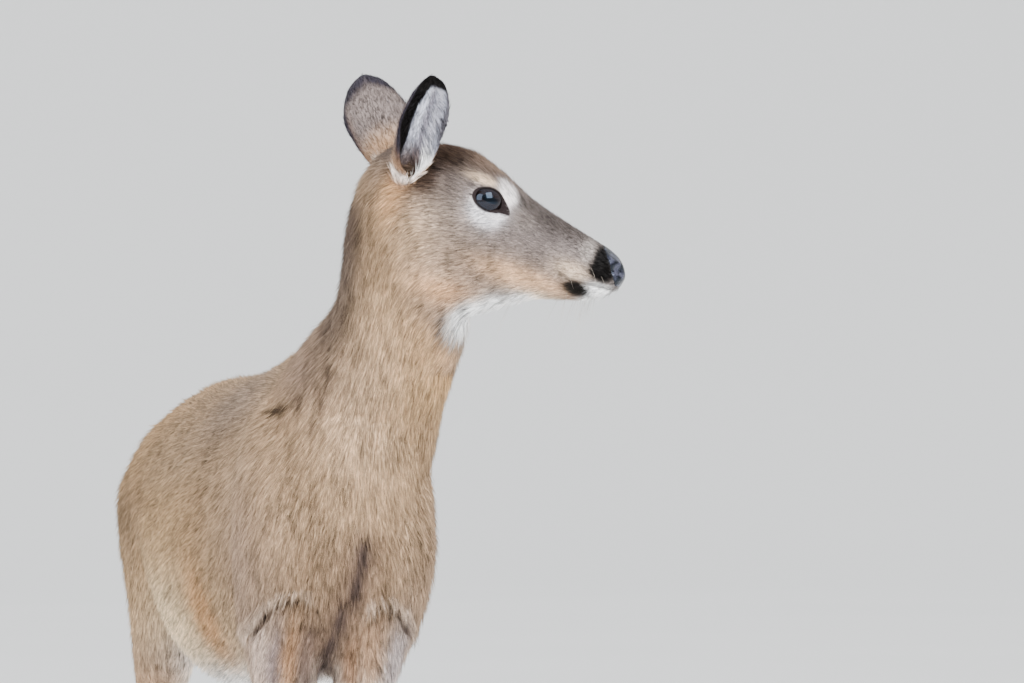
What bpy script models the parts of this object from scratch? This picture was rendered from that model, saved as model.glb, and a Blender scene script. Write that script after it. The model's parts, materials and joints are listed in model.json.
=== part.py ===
"""A young white-tailed doe, standing alert with its head turned to its left, as a life-size still model.

Metres, +Z up. The doe faces -Y, its left side is +X, and its hooves stand on z = 0. Flesh is lofted from
cross-sections, united by a voxel remesh, smoothed, and parted into named pieces by thin cuts.
The outline is the coat's outline: fur is included in every girth.
"""

import math
from dataclasses import dataclass

import bmesh
import bpy
import numpy as np
from mathutils import Matrix, Vector

# ---- driving dimensions -------------------------------------------------------------------------
WITHERS_Z = 0.806          # height at the shoulder
BREAST_Y = -0.385          # front of the breast
BUTTOCK_Y = 0.430          # rear of the rump
ELBOW_Z = 0.455
KNEE_Z = 0.268             # carpus of the foreleg
HOCK_Z = 0.345             # point of the hock
FETLOCK_Z = 0.092
CORONET_Z = 0.040          # where the hooves begin
FORE_FOOT = (0.046, -0.300)   # x, y of a forefoot's centre, left side
HIND_FOOT = (0.052, 0.372)
SHOULDER_BEND = 0.018      # the shoulders lie this far to the left of the haunches
BEND_START = 0.100
BEND_LENGTH = 0.300
HEAD_YAW = math.radians(-7.0)     # heading of the muzzle, from +X
HEAD_PITCH = math.radians(22.0)   # nose down
HEAD_ORIGIN = Vector((0.1557, -0.4414, 0.967))   # midway between the eyes
EYE_RADIUS = 0.0178
EYE_SIDE = 0.0400          # eye centre, out from the head's middle plane
EAR_LENGTH = 0.138
EAR_WALL = 0.0040
CLAW_SIDES = 12
CUT = 0.0006               # width of the cuts that part the body
CLEARANCE = 0.0004         # gap round an inset piece
VOXEL = 0.0040
TRIANGLES = 4320           # of the flesh, before it is parted
HEAD_DETAIL = 4e-6         # extra cost of simplifying the head, so that its faces stay finer

HIDE = (0.42, 0.33, 0.24, 1.0)
WHITE_HAIR = (0.80, 0.78, 0.75, 1.0)
DARK_HORN = (0.035, 0.030, 0.028, 1.0)
EYE_DARK = (0.020, 0.012, 0.010, 1.0)
EAR_HAIR = (0.45, 0.40, 0.36, 1.0)

UP = Vector((0, 0, 1))
ACROSS = Vector((1, 0, 0))
SIDES = ((1, "left"), (-1, "right"))
CORONET_SLOPE = 0.12       # a hoof is this much lower at its heel, per metre of its length


# ---- scene helpers ------------------------------------------------------------------------------
def clear_scene():
    for found in list(bpy.data.objects):
        bpy.data.objects.remove(found, do_unlink=True)


def new_collection(name, hidden=False):
    made = bpy.data.collections.new(name)
    bpy.context.scene.collection.children.link(made)
    made.hide_render = hidden
    return made


def finish_material(name, colour, roughness):
    """A plain Principled material."""
    material = bpy.data.materials.new(name)
    material.use_nodes = True
    shader = material.node_tree.nodes["Principled BSDF"]
    shader.inputs["Base Color"].default_value = colour
    shader.inputs["Roughness"].default_value = roughness
    shader.inputs["Metallic"].default_value = 0.0
    material.diffuse_color = colour
    return material


def object_from(name, mesh, collection):
    made = bpy.data.objects.new(name, mesh)
    collection.objects.link(made)
    return made


def evaluated_copy(source, name, collection):
    """A plain mesh object with the source's modifiers applied; the source is removed."""
    bpy.context.view_layer.update()
    graph = bpy.context.evaluated_depsgraph_get()
    mesh = bpy.data.meshes.new_from_object(source.evaluated_get(graph))
    mesh.transform(source.matrix_world)
    bpy.data.objects.remove(source, do_unlink=True)
    return object_from(name, mesh, collection)


def boolean(target, cutter):
    """Cuts the cutter's shape out of the target."""
    modifier = target.modifiers.new("cut", "BOOLEAN")
    modifier.operation = "DIFFERENCE"
    modifier.solver = "EXACT"
    modifier.object = cutter


def move_to(found, collection):
    for holder in list(found.users_collection):
        holder.objects.unlink(found)
    collection.objects.link(found)


def hide_helper(found):
    """Marks a cutter, so that it is drawn as wire and left out of the model."""
    found.hide_render = True
    found.display_type = "WIRE"


# ---- lofting ------------------------------------------------------------------------------------
@dataclass
class Section:
    """A cross-section: an oval about centre, in the plane of side and up."""

    centre: Vector
    side: Vector
    up: Vector
    half_width: float
    rise: float                # from the centre to the top
    drop: float                # from the centre to the bottom
    squareness: float = 2.2    # 2 is an ellipse, more is boxier
    top_taper: float = 0.0     # share of the width lost at the top
    low_taper: float = 0.0     # share of the width lost at the bottom

    def row(self):
        return [*self.centre, *self.side, *self.up, self.half_width, self.rise, self.drop,
                self.squareness, self.top_taper, self.low_taper]


def smooth_through(knots, values, at):
    """Values at the given places on a monotone cubic through the knots."""
    step = np.diff(knots)[:, None]
    slope = np.diff(values, axis=0) / step
    tangent = np.empty_like(values)
    tangent[0], tangent[-1] = slope[0], slope[-1]
    before, after = slope[:-1], slope[1:]
    rising = before * after > 0
    w_before, w_after = 2 * step[1:] + step[:-1], step[1:] + 2 * step[:-1]
    safe_before, safe_after = np.where(rising, before, 1), np.where(rising, after, 1)
    harmonic = (w_before + w_after) / (w_before / safe_before + w_after / safe_after)
    tangent[1:-1] = np.where(rising, harmonic, 0)
    span = np.clip(np.searchsorted(knots, at, side="right") - 1, 0, len(knots) - 2)
    width = (knots[span + 1] - knots[span])[:, None]
    t = ((at - knots[span])[:, None]) / width
    return (values[span] * (1 + 2 * t) * (1 - t) ** 2 + tangent[span] * width * t * (1 - t) ** 2
            + values[span + 1] * t * t * (3 - 2 * t) + tangent[span + 1] * width * t * t * (t - 1))


def ring_points(row, count):
    """The section's outline as points, anticlockwise from its side."""
    centre, side, up = row[0:3], row[3:6], row[6:9]
    half_width, rise, drop, squareness, top_taper, low_taper = row[9:15]
    side = side / np.linalg.norm(side)
    up = up / np.linalg.norm(up)
    angle = np.linspace(0, 2 * math.pi, count, endpoint=False)
    cosine, sine = np.cos(angle), np.sin(angle)
    across = np.sign(cosine) * np.abs(cosine) ** (2 / squareness)
    height = np.sign(sine) * np.abs(sine) ** (2 / squareness)
    above, below = np.clip(height, 0, 1) ** 1.5, np.clip(-height, 0, 1) ** 1.5
    across = across * (1 - top_taper * above - low_taper * below)
    level = np.where(height > 0, height * rise, height * drop)
    return centre + np.outer(across * half_width, side) + np.outer(level, up)


def skin_of_rings(name, points, rings, around):
    """A closed mesh over rings of points, each ring with the same number of them."""
    faces = []
    for ring in range(rings - 1):
        for k in range(around):
            n = (k + 1) % around
            a, b = ring * around, (ring + 1) * around
            faces.append((a + k, a + n, b + n, b + k))
    faces.append(tuple(range(around))[::-1])
    faces.append(tuple(range((rings - 1) * around, rings * around)))
    mesh = bpy.data.meshes.new(name)
    mesh.from_pydata(points, [], faces)
    shell = bmesh.new()
    shell.from_mesh(mesh)
    bmesh.ops.recalc_face_normals(shell, faces=shell.faces)
    shell.to_mesh(mesh)
    shell.free()
    return mesh


def loft(name, sections, collection, rings=36, around=32):
    """A closed skin through the sections, rounded between them and capped at both ends."""
    rows = np.array([s.row() for s in sections], float)
    gaps = np.linalg.norm(np.diff(rows[:, 0:3], axis=0), axis=1)
    knots = np.concatenate([[0], np.cumsum(np.maximum(gaps, 1e-4))])
    dense = smooth_through(knots, rows, np.linspace(0, knots[-1], rings))
    points = np.concatenate([ring_points(row, around) for row in dense])
    return object_from(name, skin_of_rings(name, points.tolist(), rings, around), collection)


# ---- trunk, neck and tail -----------------------------------------------------------------------
def bend(y):
    """How far the body's middle line lies to the left at y: the shoulders follow the turned head."""
    return SHOULDER_BEND * min(1.0, max(0.0, (BEND_START - y) / BEND_LENGTH))


def trunk_section(y, top, bottom, widest, half_width, squareness=2.25, top_taper=0.15, low_taper=0.0):
    centre = Vector((bend(y), y, widest))
    return Section(centre, ACROSS, UP, half_width, top - widest, widest - bottom,
                   squareness, top_taper, low_taper)


def build_trunk(collection):
    withers, back, croup = WITHERS_Z, WITHERS_Z - 0.028, WITHERS_Z - 0.042
    return loft("trunk_form", [
        trunk_section(BREAST_Y, 0.690, 0.545, 0.610, 0.034, 2.0, 0.0),
        trunk_section(BREAST_Y + 0.022, 0.725, 0.505, 0.600, 0.070, 2.1, 0.05),
        trunk_section(-0.320, 0.765, 0.466, 0.595, 0.093, 2.2, 0.25, 0.25),
        trunk_section(-0.265, withers - 0.001, 0.446, 0.590, 0.101, 2.2, 0.40, 0.30),
        trunk_section(-0.215, withers + 0.004, 0.437, 0.590, 0.106, 2.25, 0.42, 0.25),
        trunk_section(-0.140, withers - 0.008, 0.428, 0.590, 0.114, 2.3, 0.39, 0.15),
        trunk_section(-0.040, back, 0.418, 0.588, 0.124, 2.3, 0.30, 0.08),
        trunk_section(0.060, back - 0.006, 0.416, 0.590, 0.127, 2.25, 0.24, 0.05),
        trunk_section(0.150, back - 0.008, 0.420, 0.600, 0.123, 2.2, 0.22, 0.10),
        trunk_section(0.225, croup, 0.438, 0.620, 0.119, 2.2, 0.24, 0.30),
        trunk_section(0.300, croup - 0.010, 0.488, 0.635, 0.114, 2.2, 0.26, 0.35),
        trunk_section(0.360, 0.735, 0.555, 0.645, 0.096, 2.1, 0.28, 0.20),
        trunk_section(0.405, 0.705, 0.580, 0.640, 0.068, 2.0, 0.20, 0.10),
        trunk_section(BUTTOCK_Y - 0.004, 0.680, 0.605, 0.640, 0.030, 2.0, 0.0),
    ], collection, rings=56, around=44)


def build_brisket(collection):
    """The breast between the shoulders, under the root of the neck."""
    rows = [
        # z, front, rear, half width
        (0.760, -0.395, -0.270, 0.050),
        (0.720, -0.405, -0.240, 0.072),
        (0.670, -0.405, -0.220, 0.084),
        (0.620, -0.398, -0.210, 0.084),
        (0.570, -0.384, -0.205, 0.070),
        (0.530, -0.362, -0.205, 0.052),
        (0.495, -0.335, -0.210, 0.034),
        (0.470, -0.310, -0.220, 0.018),
    ]
    sections = [leg_section(z, front, rear, SHOULDER_BEND + 0.1 * (z - 0.57), half, 2.0)
                for z, front, rear, half in rows]
    return loft("brisket_form", sections, collection, rings=30, around=32)


def build_neck(collection):
    """The neck rises from the shoulders, leans to the left and turns its throat towards the muzzle."""
    stations = [
        # centre, throat's heading in degrees, half width, nape side, throat side
        ((0.020, -0.195, 0.625), -90, 0.088, 0.130, 0.125),
        ((0.029, -0.250, 0.675), -82, 0.095, 0.130, 0.122),
        ((0.039, -0.302, 0.725), -68, 0.091, 0.107, 0.099),
        ((0.055, -0.345, 0.775), -50, 0.079, 0.089, 0.080),
        ((0.068, -0.380, 0.820), -34, 0.066, 0.076, 0.075),
        ((0.070, -0.402, 0.860), -20, 0.059, 0.070, 0.077),
        ((0.067, -0.420, 0.900), -12, 0.054, 0.066, 0.076),
        ((0.064, -0.430, 0.940), -8, 0.051, 0.059, 0.062),
        ((0.068, -0.433, 0.975), -7, 0.047, 0.052, 0.050),
        ((0.080, -0.434, 1.002), -7, 0.040, 0.042, 0.034),
        ((0.090, -0.434, 1.018), -7, 0.026, 0.026, 0.022),
    ]
    centres = [Vector(c) for c, *_ in stations]
    sections = []
    for i, (_, heading, half_width, nape, throat) in enumerate(stations):
        axis = (centres[min(i + 1, len(centres) - 1)] - centres[max(i - 1, 0)]).normalized()
        faces = Vector((math.cos(math.radians(heading)), math.sin(math.radians(heading)), 0))
        dorsal = -(faces - axis * faces.dot(axis)).normalized()
        side = dorsal.cross(axis)
        sections.append(Section(centres[i], side, dorsal, half_width, nape, throat, 2.1, 0.22, 0.10))
    return loft("neck_form", sections, collection, rings=44, around=40)


def build_tail(collection):
    """A broad flat tail, hanging from the croup a little clear of the rump."""
    stations = [
        # y, z, half width, half thickness
        (0.385, 0.690, 0.020, 0.018),
        (0.420, 0.683, 0.026, 0.018),
        (0.452, 0.655, 0.032, 0.016),
        (0.470, 0.615, 0.037, 0.015),
        (0.480, 0.565, 0.040, 0.014),
        (0.484, 0.515, 0.037, 0.013),
        (0.484, 0.475, 0.027, 0.010),
        (0.483, 0.452, 0.012, 0.006),
    ]
    places = [Vector((0, y, z)) for y, z, *_ in stations]
    sections = []
    for i, (_, _, half_width, thickness) in enumerate(stations):
        axis = (places[min(i + 1, len(places) - 1)] - places[max(i - 1, 0)]).normalized()
        outward = ACROSS.cross(axis)
        sections.append(Section(places[i], ACROSS, outward, half_width, thickness, thickness, 2.2))
    return loft("tail_form", sections, collection, rings=26, around=20)


# ---- legs ---------------------------------------------------------------------------------------
def leg_section(z, front, rear, x, half_width, squareness=2.15):
    """A level cut through a leg, from its front to its rear along y."""
    centre = Vector((x, (front + rear) / 2, z))
    depth = (rear - front) / 2
    return Section(centre, ACROSS, Vector((0, 1, 0)), half_width, depth, depth, squareness)


def lean(z):
    """How far the foreleg stands to the left at z, on its way up to the bent shoulders."""
    return SHOULDER_BEND * min(1.0, max(0.0, (z - 0.34) / 0.22))


def build_foreleg(side, collection):
    """Shoulder, forearm, knee, cannon and pastern; side is +1 on the left and -1 on the right."""
    foot_x, foot_y = FORE_FOOT
    rows = [
        (0.775, -0.262, -0.222, 0.030, 0.012),
        (0.745, -0.295, -0.205, 0.044, 0.028),
        (0.700, -0.330, -0.188, 0.056, 0.042),
        (0.640, -0.362, -0.178, 0.062, 0.048),
        (0.585, -0.376, -0.182, 0.062, 0.049),
        (0.535, -0.368, -0.196, 0.059, 0.048),
        (0.495, -0.345, -0.208, 0.055, 0.046),
        (ELBOW_Z, -0.326, -0.220, 0.047, 0.040),
        (0.415, -0.314, -0.236, 0.045, 0.032),
        (0.360, -0.303, -0.247, 0.045, 0.0250),
        (0.310, -0.297, -0.253, 0.045, 0.0205),
        (KNEE_Z + 0.012, -0.2975, -0.2525, 0.045, 0.0210),
        (KNEE_Z - 0.012, -0.2965, -0.2535, 0.045, 0.0205),
        (0.225, -0.289, -0.255, 0.045, 0.0165),
        (0.175, -0.286, -0.256, 0.045, 0.0135),
        (0.125, -0.288, -0.255, 0.045, 0.0142),
        (FETLOCK_Z + 0.006, -0.296, -0.253, 0.046, 0.0182),
        (FETLOCK_Z - 0.012, -0.303, -0.258, foot_x, 0.0180),
        (0.062, foot_y - 0.014, foot_y + 0.026, foot_x, 0.0170),
        (CORONET_Z, foot_y - 0.019, foot_y + 0.020, foot_x, 0.0188),
        (0.022, foot_y - 0.020, foot_y + 0.018, foot_x, 0.0170),
    ]
    sections = [leg_section(z, front, rear, side * x + lean(z), half) for z, front, rear, x, half in rows]
    return loft("foreleg_form", sections, collection, rings=84, around=26)


def build_hind_leg(side, collection):
    """Thigh, gaskin, hock, cannon and pastern."""
    foot_x, foot_y = HIND_FOOT
    rows = [
        (0.735, 0.275, 0.325, 0.034, 0.014),
        (0.710, 0.240, 0.365, 0.050, 0.032),
        (0.670, 0.200, 0.405, 0.060, 0.045),
        (0.625, 0.172, 0.428, 0.068, 0.052),
        (0.580, 0.162, 0.434, 0.067, 0.050),
        (0.535, 0.172, 0.430, 0.066, 0.044),
        (0.495, 0.190, 0.424, 0.065, 0.039),
        (0.455, 0.234, 0.420, 0.064, 0.035),
        (0.415, 0.300, 0.428, 0.062, 0.028),
        (0.382, 0.352, 0.448, 0.058, 0.0225),
        (HOCK_Z + 0.014, 0.380, 0.464, 0.055, 0.0205),
        (HOCK_Z - 0.012, 0.392, 0.466, 0.054, 0.0205),
        (0.300, 0.395, 0.450, 0.053, 0.0180),
        (0.250, 0.391, 0.430, 0.052, 0.0145),
        (0.185, 0.384, 0.418, 0.052, 0.0132),
        (0.130, 0.378, 0.412, 0.052, 0.0138),
        (FETLOCK_Z + 0.006, 0.372, 0.414, 0.052, 0.0180),
        (FETLOCK_Z - 0.012, 0.366, 0.411, foot_x, 0.0175),
        (0.062, foot_y - 0.014, foot_y + 0.026, foot_x, 0.0165),
        (CORONET_Z, foot_y - 0.019, foot_y + 0.020, foot_x, 0.0185),
        (0.022, foot_y - 0.020, foot_y + 0.018, foot_x, 0.0170),
    ]
    sections = [leg_section(z, front, rear, side * x, half) for z, front, rear, x, half in rows]
    return loft("hind_leg_form", sections, collection, rings=90, around=28)


# ---- head ---------------------------------------------------------------------------------------
def head_frame():
    """Unit vectors of the head: towards the nose, to its left, and up out of the crown."""
    level = Vector((math.cos(HEAD_YAW), math.sin(HEAD_YAW), 0))
    left = Vector((-math.sin(HEAD_YAW), math.cos(HEAD_YAW), 0))
    nose = level * math.cos(HEAD_PITCH) - UP * math.sin(HEAD_PITCH)
    crown = UP * math.cos(HEAD_PITCH) + level * math.sin(HEAD_PITCH)
    return nose, left, crown


def head_point(along, left, up):
    nose_axis, left_axis, crown_axis = head_frame()
    return HEAD_ORIGIN + nose_axis * along + left_axis * left + crown_axis * up


def head_section(along, top, bottom, widest, half_width, squareness=2.2, top_taper=0.2, low_taper=0.3):
    _, left, crown = head_frame()
    centre = head_point(along, 0, widest)
    return Section(centre, left, crown, half_width, top - widest, widest - bottom,
                   squareness, top_taper, low_taper)


def build_head(collection):
    """Skull, muzzle and lower jaw, from the poll to the nose."""
    return loft("head_form", [
        head_section(-0.106, 0.020, -0.040, -0.005, 0.022, 2.0, 0.0, 0.0),
        head_section(-0.088, 0.034, -0.068, -0.008, 0.038, 2.1, 0.20, 0.20),
        head_section(-0.062, 0.0425, -0.092, -0.010, 0.0470, 2.2, 0.30, 0.35),
        head_section(-0.035, 0.0465, -0.130, -0.008, 0.0520, 2.2, 0.30, 0.48),
        head_section(-0.008, 0.0412, -0.137, -0.004, 0.0545, 2.2, 0.32, 0.56),
        head_section(0.018, 0.0318, -0.131, -0.008, 0.0510, 2.2, 0.34, 0.56),
        head_section(0.042, 0.0225, -0.118, -0.016, 0.0435, 2.2, 0.34, 0.50),
        head_section(0.066, 0.0170, -0.098, -0.022, 0.0365, 2.2, 0.32, 0.42),
        head_section(0.090, 0.0120, -0.081, -0.026, 0.0320, 2.25, 0.28, 0.36),
        head_section(0.112, 0.0085, -0.072, -0.027, 0.0295, 2.3, 0.24, 0.30),
        head_section(0.132, 0.0050, -0.065, -0.025, 0.0290, 2.35, 0.20, 0.30),
        head_section(0.148, 0.0022, -0.060, -0.022, 0.0285, 2.35, 0.22, 0.40),
        head_section(0.161, -0.0028, -0.050, -0.021, 0.0255, 2.3, 0.22, 0.35),
        head_section(0.170, -0.0095, -0.041, -0.022, 0.0200, 2.2, 0.10, 0.10),
        head_section(0.1755, -0.0165, -0.032, -0.023, 0.0110, 2.0, 0.0, 0.0),
    ], collection, rings=64, around=40)


def sculpt_head(points):
    """Brow, cheekbone, tear pit, muzzle hollow and lips, as soft swellings and dents of the head's skin."""
    nose, left, crown = head_frame()
    offset = points - np.array(HEAD_ORIGIN)
    along, side, up = (offset @ np.array(axis) for axis in (nose, left, crown))
    near_head = (along > -0.075) & (up > -0.14) & (np.abs(side) < 0.09)
    marks = [
        # along, out, up, spread, outward push
        (-0.004, 0.045, 0.026, 0.014, 0.0035),    # brow over the eye
        (-0.030, 0.050, 0.010, 0.014, 0.0015),    # rear of the brow
        (0.006, 0.052, -0.026, 0.014, 0.0020),    # cheekbone
        (0.038, 0.036, -0.006, 0.010, -0.0035),   # tear pit
        (0.078, 0.034, -0.022, 0.020, -0.0020),   # hollow of the muzzle
        (-0.020, 0.045, -0.075, 0.026, 0.0020),   # jaw muscle
        (0.138, 0.026, -0.030, 0.010, 0.0012),    # upper lip
        (0.152, 0.022, -0.012, 0.009, 0.0015),    # rim of the nostril
    ]
    for mark_along, out, mark_up, spread, push in marks:
        distance2 = (along - mark_along) ** 2 + (np.abs(side) - out) ** 2 + (up - mark_up) ** 2
        strength = push * np.exp(-distance2 / (2 * spread**2)) * near_head
        points = points + np.outer(strength * np.sign(side), np.array(left))
    return points


# ---- one flesh, then its named pieces -----------------------------------------------------------
def fleshed(forms, helpers):
    """The forms as one smooth skin of about TRIANGLES triangles."""
    joined = bmesh.new()
    for form in forms:
        joined.from_mesh(form.data)
        bpy.data.objects.remove(form, do_unlink=True)
    mesh = bpy.data.meshes.new("flesh")
    joined.to_mesh(mesh)
    joined.free()
    flesh = object_from("flesh", mesh, helpers)
    remesh = flesh.modifiers.new("unite", "REMESH")
    remesh.mode = "VOXEL"
    remesh.voxel_size = VOXEL
    flesh = evaluated_copy(flesh, "flesh", helpers)

    count = len(flesh.data.vertices)
    points = np.empty(count * 3, np.float32)
    flesh.data.vertices.foreach_get("co", points)
    points = points.reshape(-1, 3).astype(float)
    body_share = np.clip((points[:, 2] - 0.43) / 0.07, 0, 1)
    from_face = np.linalg.norm(points - np.array(head_point(0.085, 0, -0.02)), axis=1)
    head_share = np.clip(1 - (from_face - 0.100) / 0.045, 0, 1)
    soft = flesh.vertex_groups.new(name="soft")
    for index, share in enumerate(body_share * (1 - head_share)):
        soft.add([index], 0.05 + 0.95 * float(share), "REPLACE")
    blend = flesh.modifiers.new("blend", "SMOOTH")
    blend.factor, blend.iterations, blend.vertex_group = 0.5, 44, "soft"
    even = flesh.modifiers.new("even", "SMOOTH")
    even.factor, even.iterations = 0.5, 3
    flesh = evaluated_copy(flesh, "flesh", helpers)

    flesh.data.vertices.foreach_get("co", points := np.empty(count * 3, np.float32))
    points = sculpt_head(points.reshape(-1, 3).astype(float))
    flesh.data.vertices.foreach_set("co", points.astype(np.float32).ravel())
    from_head = np.linalg.norm(points - np.array(head_point(0.045, 0, -0.03)), axis=1)
    keep = np.clip(1 - (from_head - 0.125) / 0.05, 0, 1)
    coarse = flesh.vertex_groups.new(name="coarse")
    for index, share in enumerate(keep):
        coarse.add([index], 1 - 0.5 * float(share), "REPLACE")
    thin = flesh.modifiers.new("thin", "DECIMATE")
    thin.ratio = TRIANGLES / (2 * len(flesh.data.polygons))
    thin.vertex_group, thin.vertex_group_factor = "coarse", HEAD_DETAIL
    return evaluated_copy(flesh, "flesh", helpers)


@dataclass
class Cut:
    """A thin plate through the flesh, in the plane of two directions."""

    centre: Vector
    along: Vector
    across: Vector
    half_length: float
    half_width: float

    def add_to(self, shell):
        """Adds the plate to a bmesh."""
        along = self.along.normalized()
        normal = along.cross(self.across).normalized()
        across = normal.cross(along)
        turn = Matrix((along, across, normal)).transposed().to_4x4()
        size = Matrix.Diagonal((2 * self.half_length, 2 * self.half_width, CUT, 1))
        bmesh.ops.create_cube(shell, size=1, matrix=Matrix.Translation(self.centre) @ turn @ size)


def body_cuts():
    """Where the flesh is parted: behind the jaw, at the neck's root, at the tail and round the nose."""
    nose, left, crown = head_frame()
    return [
        Cut(Vector((0.068, -0.418, 0.868)), left, Vector((-0.75, 0, 0.66)), 0.100, 0.140),
        Cut(Vector((0.010, -0.305, 0.700)), ACROSS, Vector((0, 0.72, 0.69)), 0.140, 0.165),
        Cut(Vector((0.000, 0.460, 0.645)), ACROSS, Vector((0, 0.91, 0.41)), 0.055, 0.022),
        Cut(head_point(0.1535, 0, -0.020), left, crown * 0.70 - nose * 0.68, 0.050, 0.045),
    ]


def leg_cuts(side):
    """Where one side's legs are parted: at elbow and thigh, at knee and hock, and at the coronets."""
    fore_x, fore_y = FORE_FOOT
    hind_x, hind_y = HIND_FOOT
    level = Vector((0, 1, 0))
    coronet = Vector((0, 1, -CORONET_SLOPE))
    elbow = Vector((side * 0.066 + lean(0.440), -0.275, 0.440))
    thigh = Vector((side * 0.071, 0.325, 0.460))
    return [
        Cut(elbow, Vector((side, 0, 0.45)), level, 0.0715, 0.072),
        Cut(Vector((side * fore_x, -0.275, KNEE_Z - 0.022)), ACROSS, level, 0.040, 0.050),
        Cut(Vector((side * fore_x, fore_y, CORONET_Z)), ACROSS, coronet, 0.040, 0.050),
        Cut(thigh, Vector((side, 0, 0.40)), Vector((0, 1, 0.40)), 0.0635, 0.138),
        Cut(Vector((side * 0.053, 0.420, HOCK_Z - 0.045)), ACROSS, Vector((0, 1, 0.10)), 0.040, 0.060),
        Cut(Vector((side * hind_x, hind_y, CORONET_Z)), ACROSS, coronet, 0.040, 0.050),
    ]


def piece_places():
    """About where each piece's middle lies once the flesh is parted."""
    places = {
        "trunk": Vector((0, 0.02, 0.60)),
        "neck": Vector((0.045, -0.36, 0.77)),
        "head": head_point(0.02, 0, -0.03),
        "nose": head_point(0.165, 0, -0.018),
        "tail": Vector((0, 0.475, 0.56)),
    }
    for side, word in SIDES:
        places[f"foreleg_{word}"] = Vector((side * 0.052, -0.275, 0.35))
        places[f"forefoot_{word}"] = Vector((side * 0.046, -0.280, 0.14))
        places[f"hind_leg_{word}"] = Vector((side * 0.065, 0.370, 0.39))
        places[f"hind_foot_{word}"] = Vector((side * 0.052, 0.400, 0.17))
    return places


def loose_parts(source, collection):
    """The source's separate bodies as objects, largest first."""
    shell = bmesh.new()
    shell.from_mesh(source.data)
    shell.verts.ensure_lookup_table()
    seen, groups = set(), []
    for start in shell.verts:
        if start.index in seen:
            continue
        seen.add(start.index)
        group, todo = [], [start]
        while todo:
            vertex = todo.pop()
            group.append(vertex.index)
            for edge in vertex.link_edges:
                other = edge.other_vert(vertex)
                if other.index not in seen:
                    seen.add(other.index)
                    todo.append(other)
        groups.append(group)
    parts = []
    for number, group in enumerate(sorted(groups, key=len, reverse=True)):
        place = {old: new for new, old in enumerate(group)}
        corners = [shell.verts[i].co.copy() for i in group]
        own_faces = [face for face in shell.faces if face.verts[0].index in place]
        faces = [[place[v.index] for v in face.verts] for face in own_faces]
        mesh = bpy.data.meshes.new(f"body_{number}")
        mesh.from_pydata(corners, [], faces)
        parts.append(object_from(f"body_{number}", mesh, collection))
    shell.free()
    return parts


def centre_of(found):
    corners = [Vector(c) for c in found.bound_box]
    return sum(corners, Vector()) / 8


def part_flesh(flesh, helpers, model):
    """Cuts the flesh along its plates and names each piece by where it lies."""
    shell = bmesh.new()
    for cut in body_cuts() + leg_cuts(1) + leg_cuts(-1):
        cut.add_to(shell)
    mesh = bpy.data.meshes.new("plates")
    shell.to_mesh(mesh)
    shell.free()
    plates = object_from("plates", mesh, helpers)
    hide_helper(plates)
    boolean(flesh, plates)
    parted = evaluated_copy(flesh, "parted", helpers)
    pieces = loose_parts(parted, model)
    bpy.data.objects.remove(parted, do_unlink=True)

    places, named = piece_places(), {}
    for piece in pieces:
        name = min(places, key=lambda known: (places[known] - centre_of(piece)).length)
        if name in named or centre_of(piece).z < CORONET_Z:
            bpy.data.objects.remove(piece, do_unlink=True)   # a leg's stump, inside a hoof
            continue
        piece.name = name
        named[name] = piece
    if len(named) != len(places):
        raise RuntimeError(f"the cuts left these whole: {sorted(set(places) - set(named))}")
    return named


# ---- eyes, ears, hooves -------------------------------------------------------------------------
def ball(name, radius, side, collection):
    """A sphere at an eye, with its pole looking outwards."""
    _, left, _ = head_frame()
    bpy.ops.mesh.primitive_uv_sphere_add(segments=14, ring_count=9, radius=radius)
    made = bpy.context.object
    made.name = name
    turn = (left * side).to_track_quat("Z", "Y").to_matrix().to_4x4()
    made.data.transform(Matrix.Translation(head_point(0.0, side * EYE_SIDE, 0.0)) @ turn)
    made.data.shade_smooth()
    move_to(made, collection)
    return made


def build_eye(side, word, head, material, helpers, model):
    """An eyeball, and the socket for it in the head."""
    eye = ball(f"eye_{word}", EYE_RADIUS, side, model)
    eye.data.materials.append(material)
    socket = ball(f"socket_{word}", EYE_RADIUS + CLEARANCE, side, helpers)
    hide_helper(socket)
    boolean(head, socket)


@dataclass
class EarPose:
    """How an ear stands: where it springs from, where it points and where its cup opens."""

    root: Vector
    points: Vector
    opens: Vector


def ear_poses():
    nose, left, crown = head_frame()
    level = Vector((math.cos(HEAD_YAW), math.sin(HEAD_YAW), 0))
    return {
        "right": EarPose(head_point(-0.091, -0.031, -0.008),
                         UP * 0.748 - left * 0.648 + level * 0.16,
                         level * 0.62 - left * 0.65 - UP * 0.45),
        "left": EarPose(head_point(-0.097, 0.030, -0.006),
                        UP * 0.74 + left * 0.64 - level * 0.22,
                        left * 0.80 + level * 0.10 - UP * 0.50),
    }


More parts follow.
